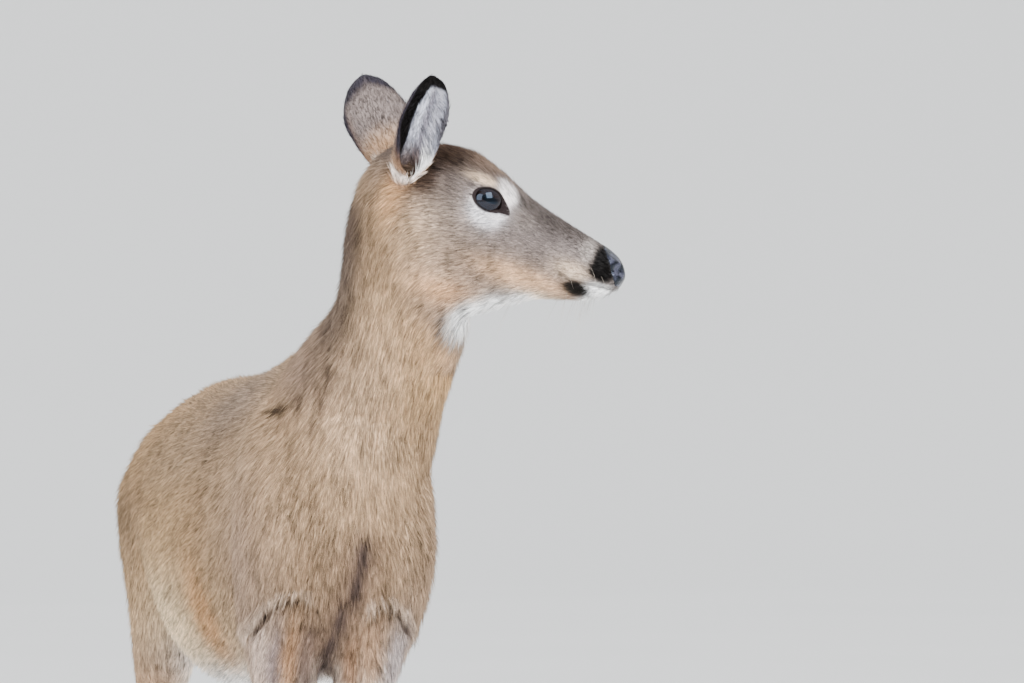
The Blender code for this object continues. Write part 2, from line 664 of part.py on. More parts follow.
def build_ear(word, pose, head, material, helpers, model):
    """A leaf-shaped cup: rolled into a tube at its root, open along its length, drawn to a soft tip."""
    shares = [0.00, 0.14, 0.28, 0.42, 0.56, 0.70, 0.82, 0.91, 0.965, 0.995]
    half_arcs = [0.046, 0.050, 0.052, 0.052, 0.050, 0.0440, 0.0355, 0.0250, 0.0160, 0.0060]
    half_turns = [152, 132, 110, 93, 81, 71, 63, 57, 52, 45]
    columns = 10
    points_axis = pose.points.normalized()
    opens = (pose.opens - points_axis * pose.opens.dot(points_axis)).normalized()
    across = opens.cross(points_axis).normalized()
    points, faces = [], []
    for share, half_arc, half_turn in zip(shares, half_arcs, half_turns):
        turn = math.radians(half_turn)
        radius = half_arc / turn
        bow = 0.008 * math.sin(math.pi * share)
        spine = pose.root + points_axis * (EAR_LENGTH * share) - opens * (0.016 + bow)
        for column in range(columns + 1):
            angle = (2 * column / columns - 1) * turn
            sideways, outwards = math.sin(angle), 1 - math.cos(angle)
            points.append(spine + across * (radius * sideways) + opens * (radius * outwards))
    for row in range(len(shares) - 1):
        for column in range(columns):
            a = row * (columns + 1) + column
            faces.append((a, a + 1, a + columns + 2, a + columns + 1))
    mesh = bpy.data.meshes.new(f"ear_{word}")
    mesh.from_pydata([p[:] for p in points], [], faces)
    mesh.materials.append(material)
    ear = object_from(f"ear_{word}", mesh, model)
    wall = ear.modifiers.new("wall", "SOLIDIFY")
    wall.thickness, wall.offset = EAR_WALL, 0.0
    hole = object_from(f"ear_{word}_cutter", head.data.copy(), helpers)
    hide_helper(hole)
    swell = hole.modifiers.new("swell", "DISPLACE")
    swell.strength, swell.mid_level = CLEARANCE, 0.0
    boolean(ear, hole)


def claw_ring(height, toe, heel, width, inner, shift):
    """A level ring of a claw that points to -Y: drawn in towards the toe, round at the heel."""
    ring = []
    for step in range(CLAW_SIDES):
        angle = 2 * math.pi * step / CLAW_SIDES
        forward, out = math.cos(angle), math.sin(angle)
        y = shift - forward * (toe if forward > 0 else heel)
        narrowing = 1 - 0.62 * max(0.0, forward) ** 2.2
        x = inner + width * (0.5 + 0.5 * out * (narrowing if out > 0 else 0.92 * narrowing + 0.08))
        ring.append((x, y, height))
    return ring


def build_claw(name, foot, foot_side, claw_side, material, model):
    """One half of a cloven hoof, standing flat on the ground."""
    foot_x, foot_y = foot
    rings = [
        claw_ring(0.0000, 0.0360, 0.0200, 0.0185, 0.0012, -0.0080),
        claw_ring(0.0040, 0.0355, 0.0205, 0.0190, 0.0010, -0.0078),
        claw_ring(0.0180, 0.0280, 0.0200, 0.0185, 0.0008, -0.0040),
        claw_ring(CORONET_Z - CUT / 2 - CLEARANCE, 0.0185, 0.0185, 0.0180, 0.0006, 0.0000),
    ]
    rings[-1] = [(x, y, z - CORONET_SLOPE * y) for x, y, z in rings[-1]]
    points = [(foot_side * foot_x + claw_side * x, foot_y + y, z) for ring in rings for x, y, z in ring]
    mesh = skin_of_rings(name, points, len(rings), CLAW_SIDES)
    mesh.materials.append(material)
    object_from(name, mesh, model)


def build_dewclaw(name, centre, leg, material, helpers, model):
    """A small claw behind the fetlock, and its pocket in the leg."""
    shape = Matrix.Rotation(math.radians(-28), 4, "X") @ Matrix.Diagonal((0.85, 1.0, 1.55, 1.0))
    for radius, holder, label in ((0.0070, model, name), (0.0070 + CLEARANCE, helpers, f"{name}_pocket")):
        bpy.ops.mesh.primitive_uv_sphere_add(segments=8, ring_count=5, radius=radius)
        claw = bpy.context.object
        claw.name = label
        claw.data.transform(Matrix.Translation(centre) @ shape)
        move_to(claw, holder)
        if holder is model:
            claw.data.materials.append(material)
        else:
            hide_helper(claw)
            boolean(leg, claw)


def build_feet(named, material, helpers, model):
    for side, word in SIDES:
        for foot, kind, label in ((FORE_FOOT, "forefoot", "fore"), (HIND_FOOT, "hind_foot", "hind")):
            for claw_side, claw_word in ((side, "outer"), (-side, "inner")):
                ending = f"{label}_{word}_{claw_word}"
                build_claw(f"hoof_{ending}", foot, side, claw_side, material, model)
                centre = Vector((side * foot[0] + claw_side * 0.0105, foot[1] + 0.0320, 0.070))
                leg = named[f"{kind}_{word}"]
                build_dewclaw(f"dewclaw_{ending}", centre, leg, material, helpers, model)


def stand_at_centre(model):
    """Moves everything so that the model's box stands centred on the origin."""
    bpy.context.view_layer.update()
    graph = bpy.context.evaluated_depsgraph_get()
    low, high = Vector([math.inf] * 3), Vector([-math.inf] * 3)
    for found in model.objects:
        shape = found.evaluated_get(graph)
        for vertex in shape.to_mesh().vertices:
            low = Vector(map(min, low, vertex.co))
            high = Vector(map(max, high, vertex.co))
        shape.to_mesh_clear()
    shift = Matrix.Translation((-(low.x + high.x) / 2, -(low.y + high.y) / 2, 0))
    for mesh in {found.data for found in bpy.data.objects if found.type == "MESH"}:
        mesh.transform(shift)


def main():
    clear_scene()
    model = new_collection("white_tailed_doe")
    helpers = new_collection("helpers", hidden=True)
    hide = finish_material("winter_coat", HIDE, 0.85)
    horn = finish_material("hoof_horn", DARK_HORN, 0.45)
    wet_nose = finish_material("nose_skin", DARK_HORN, 0.35)
    eye_gloss = finish_material("eye_gloss", EYE_DARK, 0.08)
    ear_hair = finish_material("ear_hair", EAR_HAIR, 0.85)
    tail_hair = finish_material("tail_hair", WHITE_HAIR, 0.85)

    forms = [build_trunk(helpers), build_brisket(helpers), build_neck(helpers), build_tail(helpers),
             build_head(helpers)]
    for side, _ in SIDES:
        forms += [build_foreleg(side, helpers), build_hind_leg(side, helpers)]
    named = part_flesh(fleshed(forms, helpers), helpers, model)
    for name, piece in named.items():
        piece.data.materials.append({"nose": wet_nose, "tail": tail_hair}.get(name, hide))
    poses = ear_poses()
    for _, word in SIDES:
        build_ear(word, poses[word], named["head"], ear_hair, helpers, model)
    for side, word in SIDES:
        build_eye(side, word, named["head"], eye_gloss, helpers, model)
    build_feet(named, horn, helpers, model)
    stand_at_centre(model)


main()
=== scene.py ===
"""A white-tailed deer, a young doe in winter coat, life size, standing with its head turned to its left.

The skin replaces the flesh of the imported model. Over it lies the coat, in tufts of solid strands that follow
the lie of the hair. Eyes, ears, lids, nose, whiskers and hooves are made for it here.
"""
import json
import logging
import math
from collections.abc import Callable, Iterator, Sequence
from contextlib import contextmanager
from dataclasses import dataclass, field
from enum import IntEnum

import bmesh
import bpy
import numpy as np
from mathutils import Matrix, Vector
from mathutils.bvhtree import BVHTree

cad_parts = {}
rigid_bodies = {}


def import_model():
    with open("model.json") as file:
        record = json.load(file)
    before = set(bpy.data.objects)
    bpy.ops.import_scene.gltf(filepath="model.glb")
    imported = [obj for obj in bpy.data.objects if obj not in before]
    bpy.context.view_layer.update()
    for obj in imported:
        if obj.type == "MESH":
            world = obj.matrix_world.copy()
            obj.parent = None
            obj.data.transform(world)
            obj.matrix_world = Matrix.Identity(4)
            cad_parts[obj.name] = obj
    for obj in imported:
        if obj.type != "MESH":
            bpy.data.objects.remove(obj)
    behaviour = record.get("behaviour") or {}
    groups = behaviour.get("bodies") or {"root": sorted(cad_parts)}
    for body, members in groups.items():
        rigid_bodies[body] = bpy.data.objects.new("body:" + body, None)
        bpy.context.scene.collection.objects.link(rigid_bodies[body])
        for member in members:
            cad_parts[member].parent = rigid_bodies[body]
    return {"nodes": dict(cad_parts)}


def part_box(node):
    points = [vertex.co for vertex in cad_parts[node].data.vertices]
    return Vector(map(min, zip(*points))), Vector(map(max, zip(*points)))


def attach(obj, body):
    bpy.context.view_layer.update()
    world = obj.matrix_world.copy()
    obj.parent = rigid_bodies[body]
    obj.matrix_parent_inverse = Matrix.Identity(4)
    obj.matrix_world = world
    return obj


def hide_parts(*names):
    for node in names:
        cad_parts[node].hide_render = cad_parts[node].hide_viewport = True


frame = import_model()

LOG = logging.getLogger("deer")
Rgb = tuple[float, float, float]
Place = tuple[float, float, float]
Array = np.ndarray
Mesh = bpy.types.Mesh
Object = bpy.types.Object
Material = bpy.types.Material
Socket = bpy.types.NodeSocket

UP = np.array((0.0, 0.0, 1.0))
FLESH = ("trunk", "neck", "head", "nose", "tail", "foreleg_left", "foreleg_right", "forefoot_left",
         "forefoot_right", "hind_leg_left", "hind_leg_right", "hind_foot_left", "hind_foot_right")
EYES = ("eye_left", "eye_right")
EARS = ("ear_left", "ear_right")
HEAD_FALL = math.radians(22.0)      # the muzzle's slope, nose down
SHOULDER_SHIFT = 0.018              # the shoulders lie this far to the left of the haunches
BEND_START, BEND_LENGTH = 0.127, 0.3   # where the back bends, and over how far
HAUNCH_X = -0.0935                  # the haunches' middle plane, where the markings were laid out
CHEST_Y = -0.3688                   # the front of the trunk there
OVERLAP = 0.0008                    # swell of each piece of flesh, so that the cuts between them close
COAT_FULLNESS, COAT_DEPTH, COAT_LIGHT = 1.06, 1.28, 1.28   # fuller, deeper and lighter than the coat looks
VOXEL = 0.0043                      # the size of the skin's first faces
SKIN_TRIANGLES = 192000             # what the skin is thinned to in the end
GROUND_SMOOTHING = 6                # rounds of it over the whole skin


# ---- small helpers ----
def linear(colour: Rgb) -> Array:
    """A colour of 0 to 255 as the eye sees it, in the linear values that materials take."""
    share = np.asarray(colour, float) / 255.0
    return np.where(share <= 0.04045, share / 12.92, ((share + 0.055) / 1.055) ** 2.4)


def hair(colour: Rgb) -> Array:
    """The values that make the coat look a colour: deeper and fuller, since light among the strands pales it.

    Args:
        colour: red, green and blue from 0 to 255, as the coat is to look.

    Returns:
        Three linear values from 0 to 1.
    """
    seen = np.asarray(colour, float)
    grey = float(seen @ (0.3, 0.59, 0.11))
    full = linear(np.clip(grey + (seen - grey) * COAT_FULLNESS, 2.0, 252.0))
    return np.minimum(full ** COAT_DEPTH * COAT_LIGHT, 0.92)


def unit(vectors: Array) -> Array:
    """The vectors, one or one in each row, each with a length of one."""
    vectors = np.asarray(vectors, float)
    return vectors / np.maximum(np.linalg.norm(vectors, axis=-1, keepdims=True), 1e-12)


def ease(values: Array, low: float | Array, high: float | Array) -> Array:
    """A smooth step: 0 at low or before, 1 at high or after."""
    share = np.clip((np.asarray(values, float) - low) / (high - low), 0.0, 1.0)
    return share * share * (3.0 - 2.0 * share)


def smooth_through(knots: Sequence[float], values: Sequence[float], at: Array) -> Array:
    """A smooth curve through the knots that never swings past them.

    Args:
        knots: rising places.
        values: the curve's value at each knot.
        at: where the curve is read.

    Returns:
        The curve's values there.
    """
    x, y = np.asarray(knots, float), np.asarray(values, float)
    step = np.diff(x)
    slope = np.diff(y) / step
    product, total = slope[:-1] * slope[1:], slope[:-1] + slope[1:]
    inner = np.where(product > 0, 2 * product / np.where(total == 0, 1, total), 0.0)
    tangent = np.concatenate(([slope[0]], inner, [slope[-1]]))
    at = np.clip(np.asarray(at, float), x[0], x[-1])
    i = np.clip(np.searchsorted(x, at, side="right") - 1, 0, len(step) - 1)
    t = (at - x[i]) / step[i]
    return ((2 * t**3 - 3 * t**2 + 1) * y[i] + (t**3 - 2 * t**2 + t) * step[i] * tangent[i]
            + (3 * t**2 - 2 * t**3) * y[i + 1] + (t**3 - t**2) * step[i] * tangent[i + 1])


def from_line(flat: Array, line: Sequence[tuple[float, float]]) -> Array:
    """How far places in a plane are from a bent line: above 0 on the left of its run, below on the right.

    Args:
        flat: two numbers in each row.
        line: the line's corners.

    Returns:
        Signed distances.
    """
    best = np.full(len(flat), 9.0)
    corners = np.asarray(line, float)
    for start, end in zip(corners[:-1], corners[1:]):
        run = end - start
        share = np.clip(((flat - start) @ run) / (run @ run), 0.0, 1.0)
        away = flat - start - share[:, None] * run
        distance = np.hypot(*away.T)
        side = np.where(run[0] * away[:, 1] - run[1] * away[:, 0] < 0, -1.0, 1.0)
        best = np.where(distance < np.abs(best), side * distance, best)
    return best


def blended(under: Array, over: Array, share: Array) -> Array:
    """The rows of one array, turned to another's by the share given for each row."""
    return under * (1 - share)[..., None] + over * share[..., None]


def read(holder: bpy.types.bpy_prop_collection, key: str, width: int = 1, kind: type = np.float32) -> Array:
    """The values that each element of a mesh holds.

    Args:
        holder: the elements, or an attribute's data.
        key: what is read of each.
        width: how many numbers each has.
        kind: the type of number.

    Returns:
        One number for each element, or one row where it has more.
    """
    flat = np.zeros(len(holder) * width, kind)
    holder.foreach_get(key, flat)
    return flat.reshape(-1, width) if width > 1 else flat


def points_of(mesh: Mesh) -> Array:
    """The places of a mesh's vertices, one in each row."""
    return read(mesh.vertices, "co", 3).astype(float)


def normals_of(mesh: Mesh) -> Array:
    """The outward directions at a mesh's vertices, one in each row."""
    return read(mesh.vertex_normals, "vector", 3).astype(float)


def set_points(mesh: Mesh, points: Array) -> None:
    """Moves a mesh's vertices to the given places."""
    mesh.vertices.foreach_set("co", np.asarray(points, np.float32).ravel())
    mesh.update()


def store(mesh: Mesh, name: str, values: Array, domain: str = "POINT") -> None:
    """Keeps values on a mesh as a named attribute: a number, a vector or a colour for each element.

    Args:
        mesh: the mesh that carries them.
        name: the attribute's name.
        values: one number or one row for each element; four in a row make a colour.
        domain: POINT, FACE or CORNER.
    """
    values = np.asarray(values)
    if values.ndim == 1:
        kind, key = ("INT" if values.dtype.kind == "i" else "FLOAT"), "value"
    else:
        kind, key = {3: ("FLOAT_VECTOR", "vector"), 4: ("FLOAT_COLOR", "color")}[values.shape[1]]
    made = mesh.attributes.new(name, kind, domain)
    dtype = np.int32 if kind == "INT" else np.float32
    made.data.foreach_set(key, np.ascontiguousarray(values, dtype).ravel())


def store_coat(mesh: Mesh, colours: Array, length: Array, growth: Array, lie: Array,
               bare: Array) -> None:
    """Keeps what the coat needs on the ground it grows from: its colour, length, density and lie."""
    store(mesh, "coat_colour", np.column_stack((colours, np.ones(len(colours)))))
    for name, values in (("strand_length", length), ("growth", growth), ("bare", bare), ("lie", lie)):
        store(mesh, name, values)


def add_object(name: str, data: bpy.types.ID) -> Object:
    """A new object at the origin, linked to the scene."""
    made = bpy.data.objects.new(name, data)
    bpy.context.scene.collection.objects.link(made)
    return made


def mesh_from(name: str, points: Array, faces: Sequence, smooth: bool = True) -> Mesh:
    """A mesh from its points and faces.

    Args:
        name: the mesh's name.
        points: one place in each row.
        faces: the point numbers of each face.
        smooth: whether its faces are shaded smooth.

    Returns:
        The mesh.
    """
    mesh = bpy.data.meshes.new(name)
    mesh.from_pydata(np.asarray(points, float).tolist(), [], [tuple(int(i) for i in f) for f in faces])
    mesh.polygons.foreach_set("use_smooth", [smooth] * len(mesh.polygons))
    mesh.update()
    return mesh


@contextmanager
def opened(mesh: Mesh) -> Iterator[bmesh.types.BMesh]:
    """A mesh opened for editing, and written back at the end."""
    shell = bmesh.new()
    shell.from_mesh(mesh)
    yield shell
    shell.to_mesh(mesh)
    shell.free()


def face_outwards(mesh: Mesh) -> None:
    """Turns the faces of closed shells outwards."""
    with opened(mesh) as shell:
        bmesh.ops.recalc_face_normals(shell, faces=shell.faces)


def evaluated(source: Object, name: str) -> Mesh:
    """The source's mesh with its modifiers applied, as a new plain mesh.

    Args:
        source: the object with the modifiers.
        name: the new mesh's name.

    Returns:
        The new mesh.
    """
    bpy.context.view_layer.update()
    graph = bpy.context.evaluated_depsgraph_get()
    made = bpy.data.meshes.new_from_object(source.evaluated_get(graph), preserve_all_data_layers=True,
                                           depsgraph=graph)
    made.name = name
    return made


def grid_faces(rows: int, columns: int, closed: bool = False) -> list[tuple[int, int, int, int]]:
    """Quads over a grid of points that were laid row by row; a closed row joins its own start."""
    last = columns if closed else columns - 1
    return [(r * columns + c, r * columns + (c + 1) % columns,
             (r + 1) * columns + (c + 1) % columns, (r + 1) * columns + c)
            for r in range(rows - 1) for c in range(last)]


# ---- landmarks ----
def node_middle(name: str) -> Array:
    """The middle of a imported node's box."""
    low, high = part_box(name)
    return np.array((low + high) / 2)


@dataclass
class HeadAxes:
    """The head's own directions: along towards the nose, out to its left, and up out of the crown."""

    middle: Array = field(init=False)
    nose: Array = field(init=False)
    left: Array = field(init=False)
    crown: Array = field(init=False)
    axes: Array = field(init=False)
    eye_radius: float = field(init=False)

    def __post_init__(self) -> None:
        """Reads the axes from where the eyes are."""
        left_eye, right_eye = node_middle("eye_left"), node_middle("eye_right")
        self.middle = (left_eye + right_eye) / 2
        self.left = unit(left_eye - right_eye)
        level = unit(np.cross(self.left, UP))
        self.nose = level * math.cos(HEAD_FALL) - UP * math.sin(HEAD_FALL)
        self.crown = np.cross(self.nose, self.left)
        self.axes = np.array((self.nose, self.left, self.crown))
        low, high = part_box("eye_right")
        self.eye_radius = (high.z - low.z) / 2

    def local(self, points: Array) -> Array:
        """Places as along, out to the left and up, from midway between the eyes."""
        return (points - self.middle) @ self.axes.T

    def even(self, points: Array) -> Array:
        """Places as along, out to either side and up."""
        along, side, up = self.local(points).T
        return np.column_stack((along, np.abs(side), up))

    def world(self, local: Array) -> Array:
        """The opposite of local: the row frame's own places."""
        return self.middle + np.asarray(local, float) @ self.axes

    def turned(self, local: Array) -> Array:
        """A direction given along, left and up, in the row frame."""
        return np.asarray(local, float) @ self.axes


@dataclass
class BodyAxes:
    """The body's middle plane, which bends to the left at the shoulders."""

    drift: Array = field(init=False)     # from the places that the markings were laid out in

    def __post_init__(self) -> None:
        """Reads where the body stands from its hind feet and its chest."""
        haunch_x = float((node_middle("hind_foot_left")[0] + node_middle("hind_foot_right")[0]) / 2)
        self.drift = np.array((haunch_x - HAUNCH_X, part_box("trunk")[0].y - CHEST_Y, 0.0))

    def settled(self, points: Array) -> Array:
        """Places as the markings were laid out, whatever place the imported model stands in."""
        return points - self.drift

    def local(self, points: Array) -> Array:
        """Places as out to the left of the body's middle plane, y and z."""
        x, y, z = self.settled(points).T
        return np.column_stack((x - HAUNCH_X - SHOULDER_SHIFT * ease(BEND_START - y, 0.0, BEND_LENGTH), y, z))


# ---- fields over the skin: colour, length, lie ----
@dataclass(frozen=True)
class Mark:
    """A patch of the coat: where its middle lies, how far it reaches each way, and the value it gives."""

    at: Place
    reach: Place
    value: tuple[float, ...]
    strength: float = 1.0
    edge: float = 1.5      # how sharply it ends: 1 is soft, 4 is crisp

    def mask(self, places: Array) -> Array:
        """How far the mark has its way at each place, from 0 to 1."""
        away = (((places - np.array(self.at)) / np.array(self.reach)) ** 2).sum(axis=1)
        return self.strength / (1.0 + away ** self.edge)


def laid_over(base: Array, places: Array, marks: Sequence[Mark], colours: bool = False) -> Array:
    """Lays marks over a base, one after the other.

    Args:
        base: a row of values for each place.
        places: the places in the marks' own axes.
        marks: what is laid over, the last on top.
        colours: whether the marks' values are colours of 0 to 255.

    Returns:
        The values with the marks over them.
    """
    out = np.array(base, float)
    for mark in marks:
        value = hair(mark.value) if colours else np.array(mark.value, float)
        out = blended(out, value, mark.mask(places))
    return out


@dataclass(frozen=True)
class Lie:
    """Which way the hair points round a place."""

    at: Place
    towards: Place
    reach: float


def mirrored(guides: Sequence[Lie], axis: int) -> list[Lie]:
    """The guides, and each one that is off the middle plane once more on the other side.

    Args:
        guides: directions on one side and on the middle plane.
        axis: which number of a place is measured across that plane.

    Returns:
        All the guides.
    """
    out = list(guides)
    for guide in guides:
        if abs(guide.at[axis]) > 1e-6:
            at, towards = list(guide.at), list(guide.towards)
            at[axis], towards[axis] = -at[axis], -towards[axis]
            out.append(Lie(tuple(at), tuple(towards), guide.reach))
    return out


def combed(places: Array, guides: Sequence[Lie]) -> tuple[Array, Array]:
    """The direction of the hair at each place, as a blend of the guides by distance.

    Args:
        places: the places in the guides' own axes.
        guides: the known directions.

    Returns:
        The directions, and how strongly any guide speaks for each.
    """
    total, weight = np.zeros_like(places), np.zeros(len(places))
    for guide in guides:
        away = ((places - np.array(guide.at)) ** 2).sum(axis=1) / guide.reach**2
        share = 1.0 / (0.02 + away) ** 2
        total += share[:, None] * unit(guide.towards)
        weight += share
    return total / weight[:, None], weight


# ---- the coat's markings ----
WINTER_BACK: Rgb = (158, 137, 114)
WHITE: Rgb = (236, 236, 236)
BLACK: Rgb = (20, 18, 18)
COOL_WHITE: Rgb = (244, 250, 252)

# out from the middle plane, y, z
BODY_MARKS = (
    Mark((0, 0.15, 0.8), (0.1, 0.4, 0.06), (144, 124, 101), 0.9),
    Mark((0, 0.42, 0.72), (0.1, 0.14, 0.08), (158, 136, 108), 0.8),
    Mark((0.13, 0.12, 0.6), (0.1, 0.26, 0.12), (180, 154, 120), 0.9),
    Mark((0.12, 0.34, 0.58), (0.07, 0.14, 0.12), (170, 146, 116), 0.9),
    Mark((0.12, 0.26, 0.6), (0.05, 0.07, 0.2), (180, 150, 116), 0.5),
    Mark((0.12, 0.1, 0.69), (0.07, 0.26, 0.055), (152, 134, 113), 0.8),
    Mark((0.07, -0.06, 0.745), (0.06, 0.1, 0.05), (138, 127, 120), 0.8),
    Mark((0.125, 0.31, 0.6), (0.014, 0.12, 0.09), (126, 110, 94), 0.75, 2),
    Mark((0.105, 0.09, 0.485), (0.06, 0.17, 0.06), (220, 202, 173), 0.95),
    Mark((0.13, -0.21, 0.66), (0.07, 0.12, 0.13), (176, 156, 134), 0.9),
    Mark((0.12, -0.26, 0.56), (0.05, 0.08, 0.09), (156, 139, 127), 0.8),
    Mark((0, -0.38, 0.68), (0.1, 0.08, 0.1), (198, 175, 149), 0.9),
    Mark((0, -0.05, 0.415), (0.075, 0.4, 0.045), WHITE, 1, 2.5),
    Mark((0, 0.28, 0.43), (0.06, 0.15, 0.075), WHITE, 1, 2.5),
    Mark((0, 0.5, 0.55), (0.038, 0.05, 0.1), WHITE, 1, 2.5),
    Mark((0, 0.515, 0.6), (0.023, 0.019, 0.125), (134, 108, 82), 1, 3),
    Mark((0, 0.49, 0.672), (0.027, 0.036, 0.045), (140, 116, 90), 1, 3),
    Mark((0.1, -0.055, 0.5), (0.04, 0.035, 0.065), (190, 154, 116), 0.75, 2),
)

# the row frame's own x, y, z: the neck is turned, so its marks aren't mirrored
NECK_BASE: Rgb = (188, 163, 134)
NECK_MARKS = (
    Mark((-0.06, -0.38, 0.8), (0.11, 0.1, 0.16), (200, 176, 148)),
    Mark((-0.06, -0.41, 0.72), (0.08, 0.07, 0.1), (206, 184, 160), 0.9),
    Mark((-0.095, -0.38, 0.91), (0.024, 0.05, 0.06), (104, 96, 92), 0.95, 2),
    Mark((-0.1, -0.345, 0.85), (0.022, 0.06, 0.05), (112, 102, 96), 0.9, 2),
    Mark((-0.11, -0.22, 0.79), (0.056, 0.085, 0.043), (150, 134, 127), 0.9),
    Mark((-0.123, -0.29, 0.782), (0.036, 0.08, 0.04), (144, 128, 117), 0.95),
    Mark((-0.09, -0.393, 0.955), (0.024, 0.06, 0.05), (100, 90, 85), 0.95, 2),
    Mark((0.03, -0.4, 0.815), (0.038, 0.05, 0.07), (211, 178, 137), 0.9),
    Mark((0.008, -0.41, 0.745), (0.04, 0.05, 0.045), (190, 166, 136), 0.75),
)

# along, left, up on the head: black strokes where the crown's hair has parted
CROWN_FLECKS = tuple(Mark(at, reach, (30, 24, 22), 0.85, 2.5) for at, reach in (
    ((-0.0455, -0.04, 0.025), (0.006, 0.02, 0.0016)),
    ((-0.056, -0.04, 0.0285), (0.0025, 0.02, 0.0045)),
    ((-0.0387, -0.036, 0.0318), (0.002, 0.02, 0.004)),
    ((-0.0672, -0.034, 0.0325), (0.003, 0.02, 0.005)),
    ((-0.076, -0.046, -0.011), (0.007, 0.02, 0.0016)),
    ((-0.064, -0.042, 0.012), (0.006, 0.02, 0.002)),
))

# along, out to either side, up, from midway between the eyes
HEAD_BASE: Rgb = (126, 119, 118)
HEAD_MARKS = (
    Mark((-0.01, 0, -0.168), (0.06, 0.08, 0.026), (203, 177, 150), 1, 2.5),
    Mark((-0.03, 0.05, -0.045), (0.036, 0.03, 0.026), (172, 161, 154), 0.6),
    Mark((-0.085, 0.045, -0.085), (0.05, 0.05, 0.055), (195, 174, 150), 0.95, 2),
    Mark((-0.098, 0.047, -0.035), (0.016, 0.03, 0.034), (200, 166, 130), 0.95, 2),
    Mark((-0.025, 0.045, -0.105), (0.06, 0.04, 0.022), (204, 182, 161), 0.85, 1.6),
    Mark((0.075, 0.03, -0.066), (0.062, 0.04, 0.013), (204, 176, 148), 0.95, 1.8),
    Mark((0.02, 0.045, -0.11), (0.06, 0.04, 0.013), (206, 172, 138), 0.85, 1.8),
    Mark((0.055, 0.02, 0.012), (0.04, 0.03, 0.022), (94, 89, 87), 0.95, 1.6),
    Mark((0.098, 0.012, 0.004), (0.036, 0.024, 0.012), (94, 88, 86), 0.95, 1.6),
    Mark((-0.006, 0, 0.05), (0.05, 0.08, 0.029), (126, 111, 101), 1, 3),
    Mark((-0.058, 0, 0.04), (0.028, 0.09, 0.029), (84, 71, 63), 1, 3),
    Mark((-0.07, 0.044, -0.002), (0.014, 0.024, 0.02), (74, 56, 44), 0.8, 2),
    Mark((-0.108, 0, -0.01), (0.02, 0.03, 0.06), (104, 93, 86), 0.9, 1.6),
    Mark((-0.012, 0.045, 0.0195), (0.015, 0.026, 0.0052), (215, 196, 175), 0.95, 2.5),
    Mark((0.046, 0.04, -0.006), (0.014, 0.02, 0.012), (138, 130, 126), 0.7, 2),
    Mark((0.004, 0.046, -0.011), (0.0225, 0.03, 0.02), (203, 201, 204), 1, 4),
    Mark((0.0205, 0.036, 0.015), (0.0135, 0.02, 0.0165), (216, 212, 212), 1, 4),
    Mark((0.128, 0.022, -0.01), (0.01, 0.03, 0.014), (152, 146, 142), 0.8, 2),
    Mark((0.118, 0.028, -0.038), (0.02, 0.03, 0.01), (192, 175, 158), 0.85, 2),
    Mark((0.156, 0, -0.05), (0.024, 0.04, 0.015), COOL_WHITE, 1, 5),
    Mark((0.144, 0.022, -0.013), (0.011, 0.04, 0.018), BLACK, 1, 5),
    Mark((0.148, 0.022, -0.026), (0.017, 0.04, 0.012), BLACK, 1, 5),
    Mark((0.13, 0.022, -0.0535), (0.016, 0.04, 0.0082), BLACK, 1, 5),
    Mark((0.11, 0, -0.079), (0.03, 0.03, 0.008), (228, 214, 198), 0.9, 2),
    Mark((0.086, 0, -0.088), (0.024, 0.024, 0.0105), COOL_WHITE, 1, 3),
    Mark((0.062, 0, -0.102), (0.024, 0.03, 0.015), COOL_WHITE, 1, 3.5),
    Mark((0.044, 0, -0.117), (0.022, 0.03, 0.016), COOL_WHITE, 1, 3.5),
    Mark((0.032, 0, -0.13), (0.018, 0.028, 0.015), COOL_WHITE, 1, 3.5),
)

# out from the middle plane, y, z
LEG_MARKS = (
    Mark((0.07, 0.36, 0.36), (0.05, 0.14, 0.1), (178, 150, 124), 0.9, 2),
    Mark((0.06, 0.4, 0.18), (0.05, 0.09, 0.13), (166, 140, 116), 0.9, 2),
    Mark((0.055, -0.27, 0.2), (0.05, 0.09, 0.22), (168, 142, 118), 0.9, 2),
    Mark((0.005, 0.36, 0.4), (0.034, 0.2, 0.1), (220, 208, 194), 0.9, 2),
    Mark((0.01, -0.25, 0.36), (0.022, 0.06, 0.09), (205, 192, 178), 0.8, 2),
    Mark((0.04, -0.3, 0.06), (0.05, 0.06, 0.035), (146, 120, 98), 0.7, 2),
    Mark((0.05, 0.375, 0.06), (0.05, 0.06, 0.035), (146, 120, 98), 0.7, 2),
)

# left of the middle plane, y, z: the foreleg tops, whose light hair turns out at the body
LEG_TOP_MARKS = (
    Mark((-0.0915, -0.285, 0.45), (0.011, 0.04, 0.055), (214, 197, 186), 0.95, 2),
    Mark((-0.0745, -0.294, 0.455), (0.009, 0.04, 0.055), (154, 144, 145), 0.9, 2),
    Mark((-0.0575, -0.304, 0.455), (0.011, 0.04, 0.055), (184, 152, 122), 0.9, 2),
    Mark((-0.0385, -0.3, 0.46), (0.011, 0.04, 0.055), (120, 106, 102), 0.85, 2),
    Mark((0.011, -0.29, 0.45), (0.01, 0.04, 0.05), (180, 147, 118), 0.85, 2),
    Mark((0.032, -0.31, 0.465), (0.014, 0.04, 0.055), (182, 156, 132), 0.9, 2),
    Mark((0.064, -0.295, 0.455), (0.015, 0.04, 0.055), (188, 180, 180), 0.9, 2),
)

# along and up on the head
MOUTH_LINE = ((0.17, -0.0385), (0.158, -0.0405), (0.144, -0.043), (0.13, -0.0455), (0.118, -0.0475),
              (0.104, -0.044))

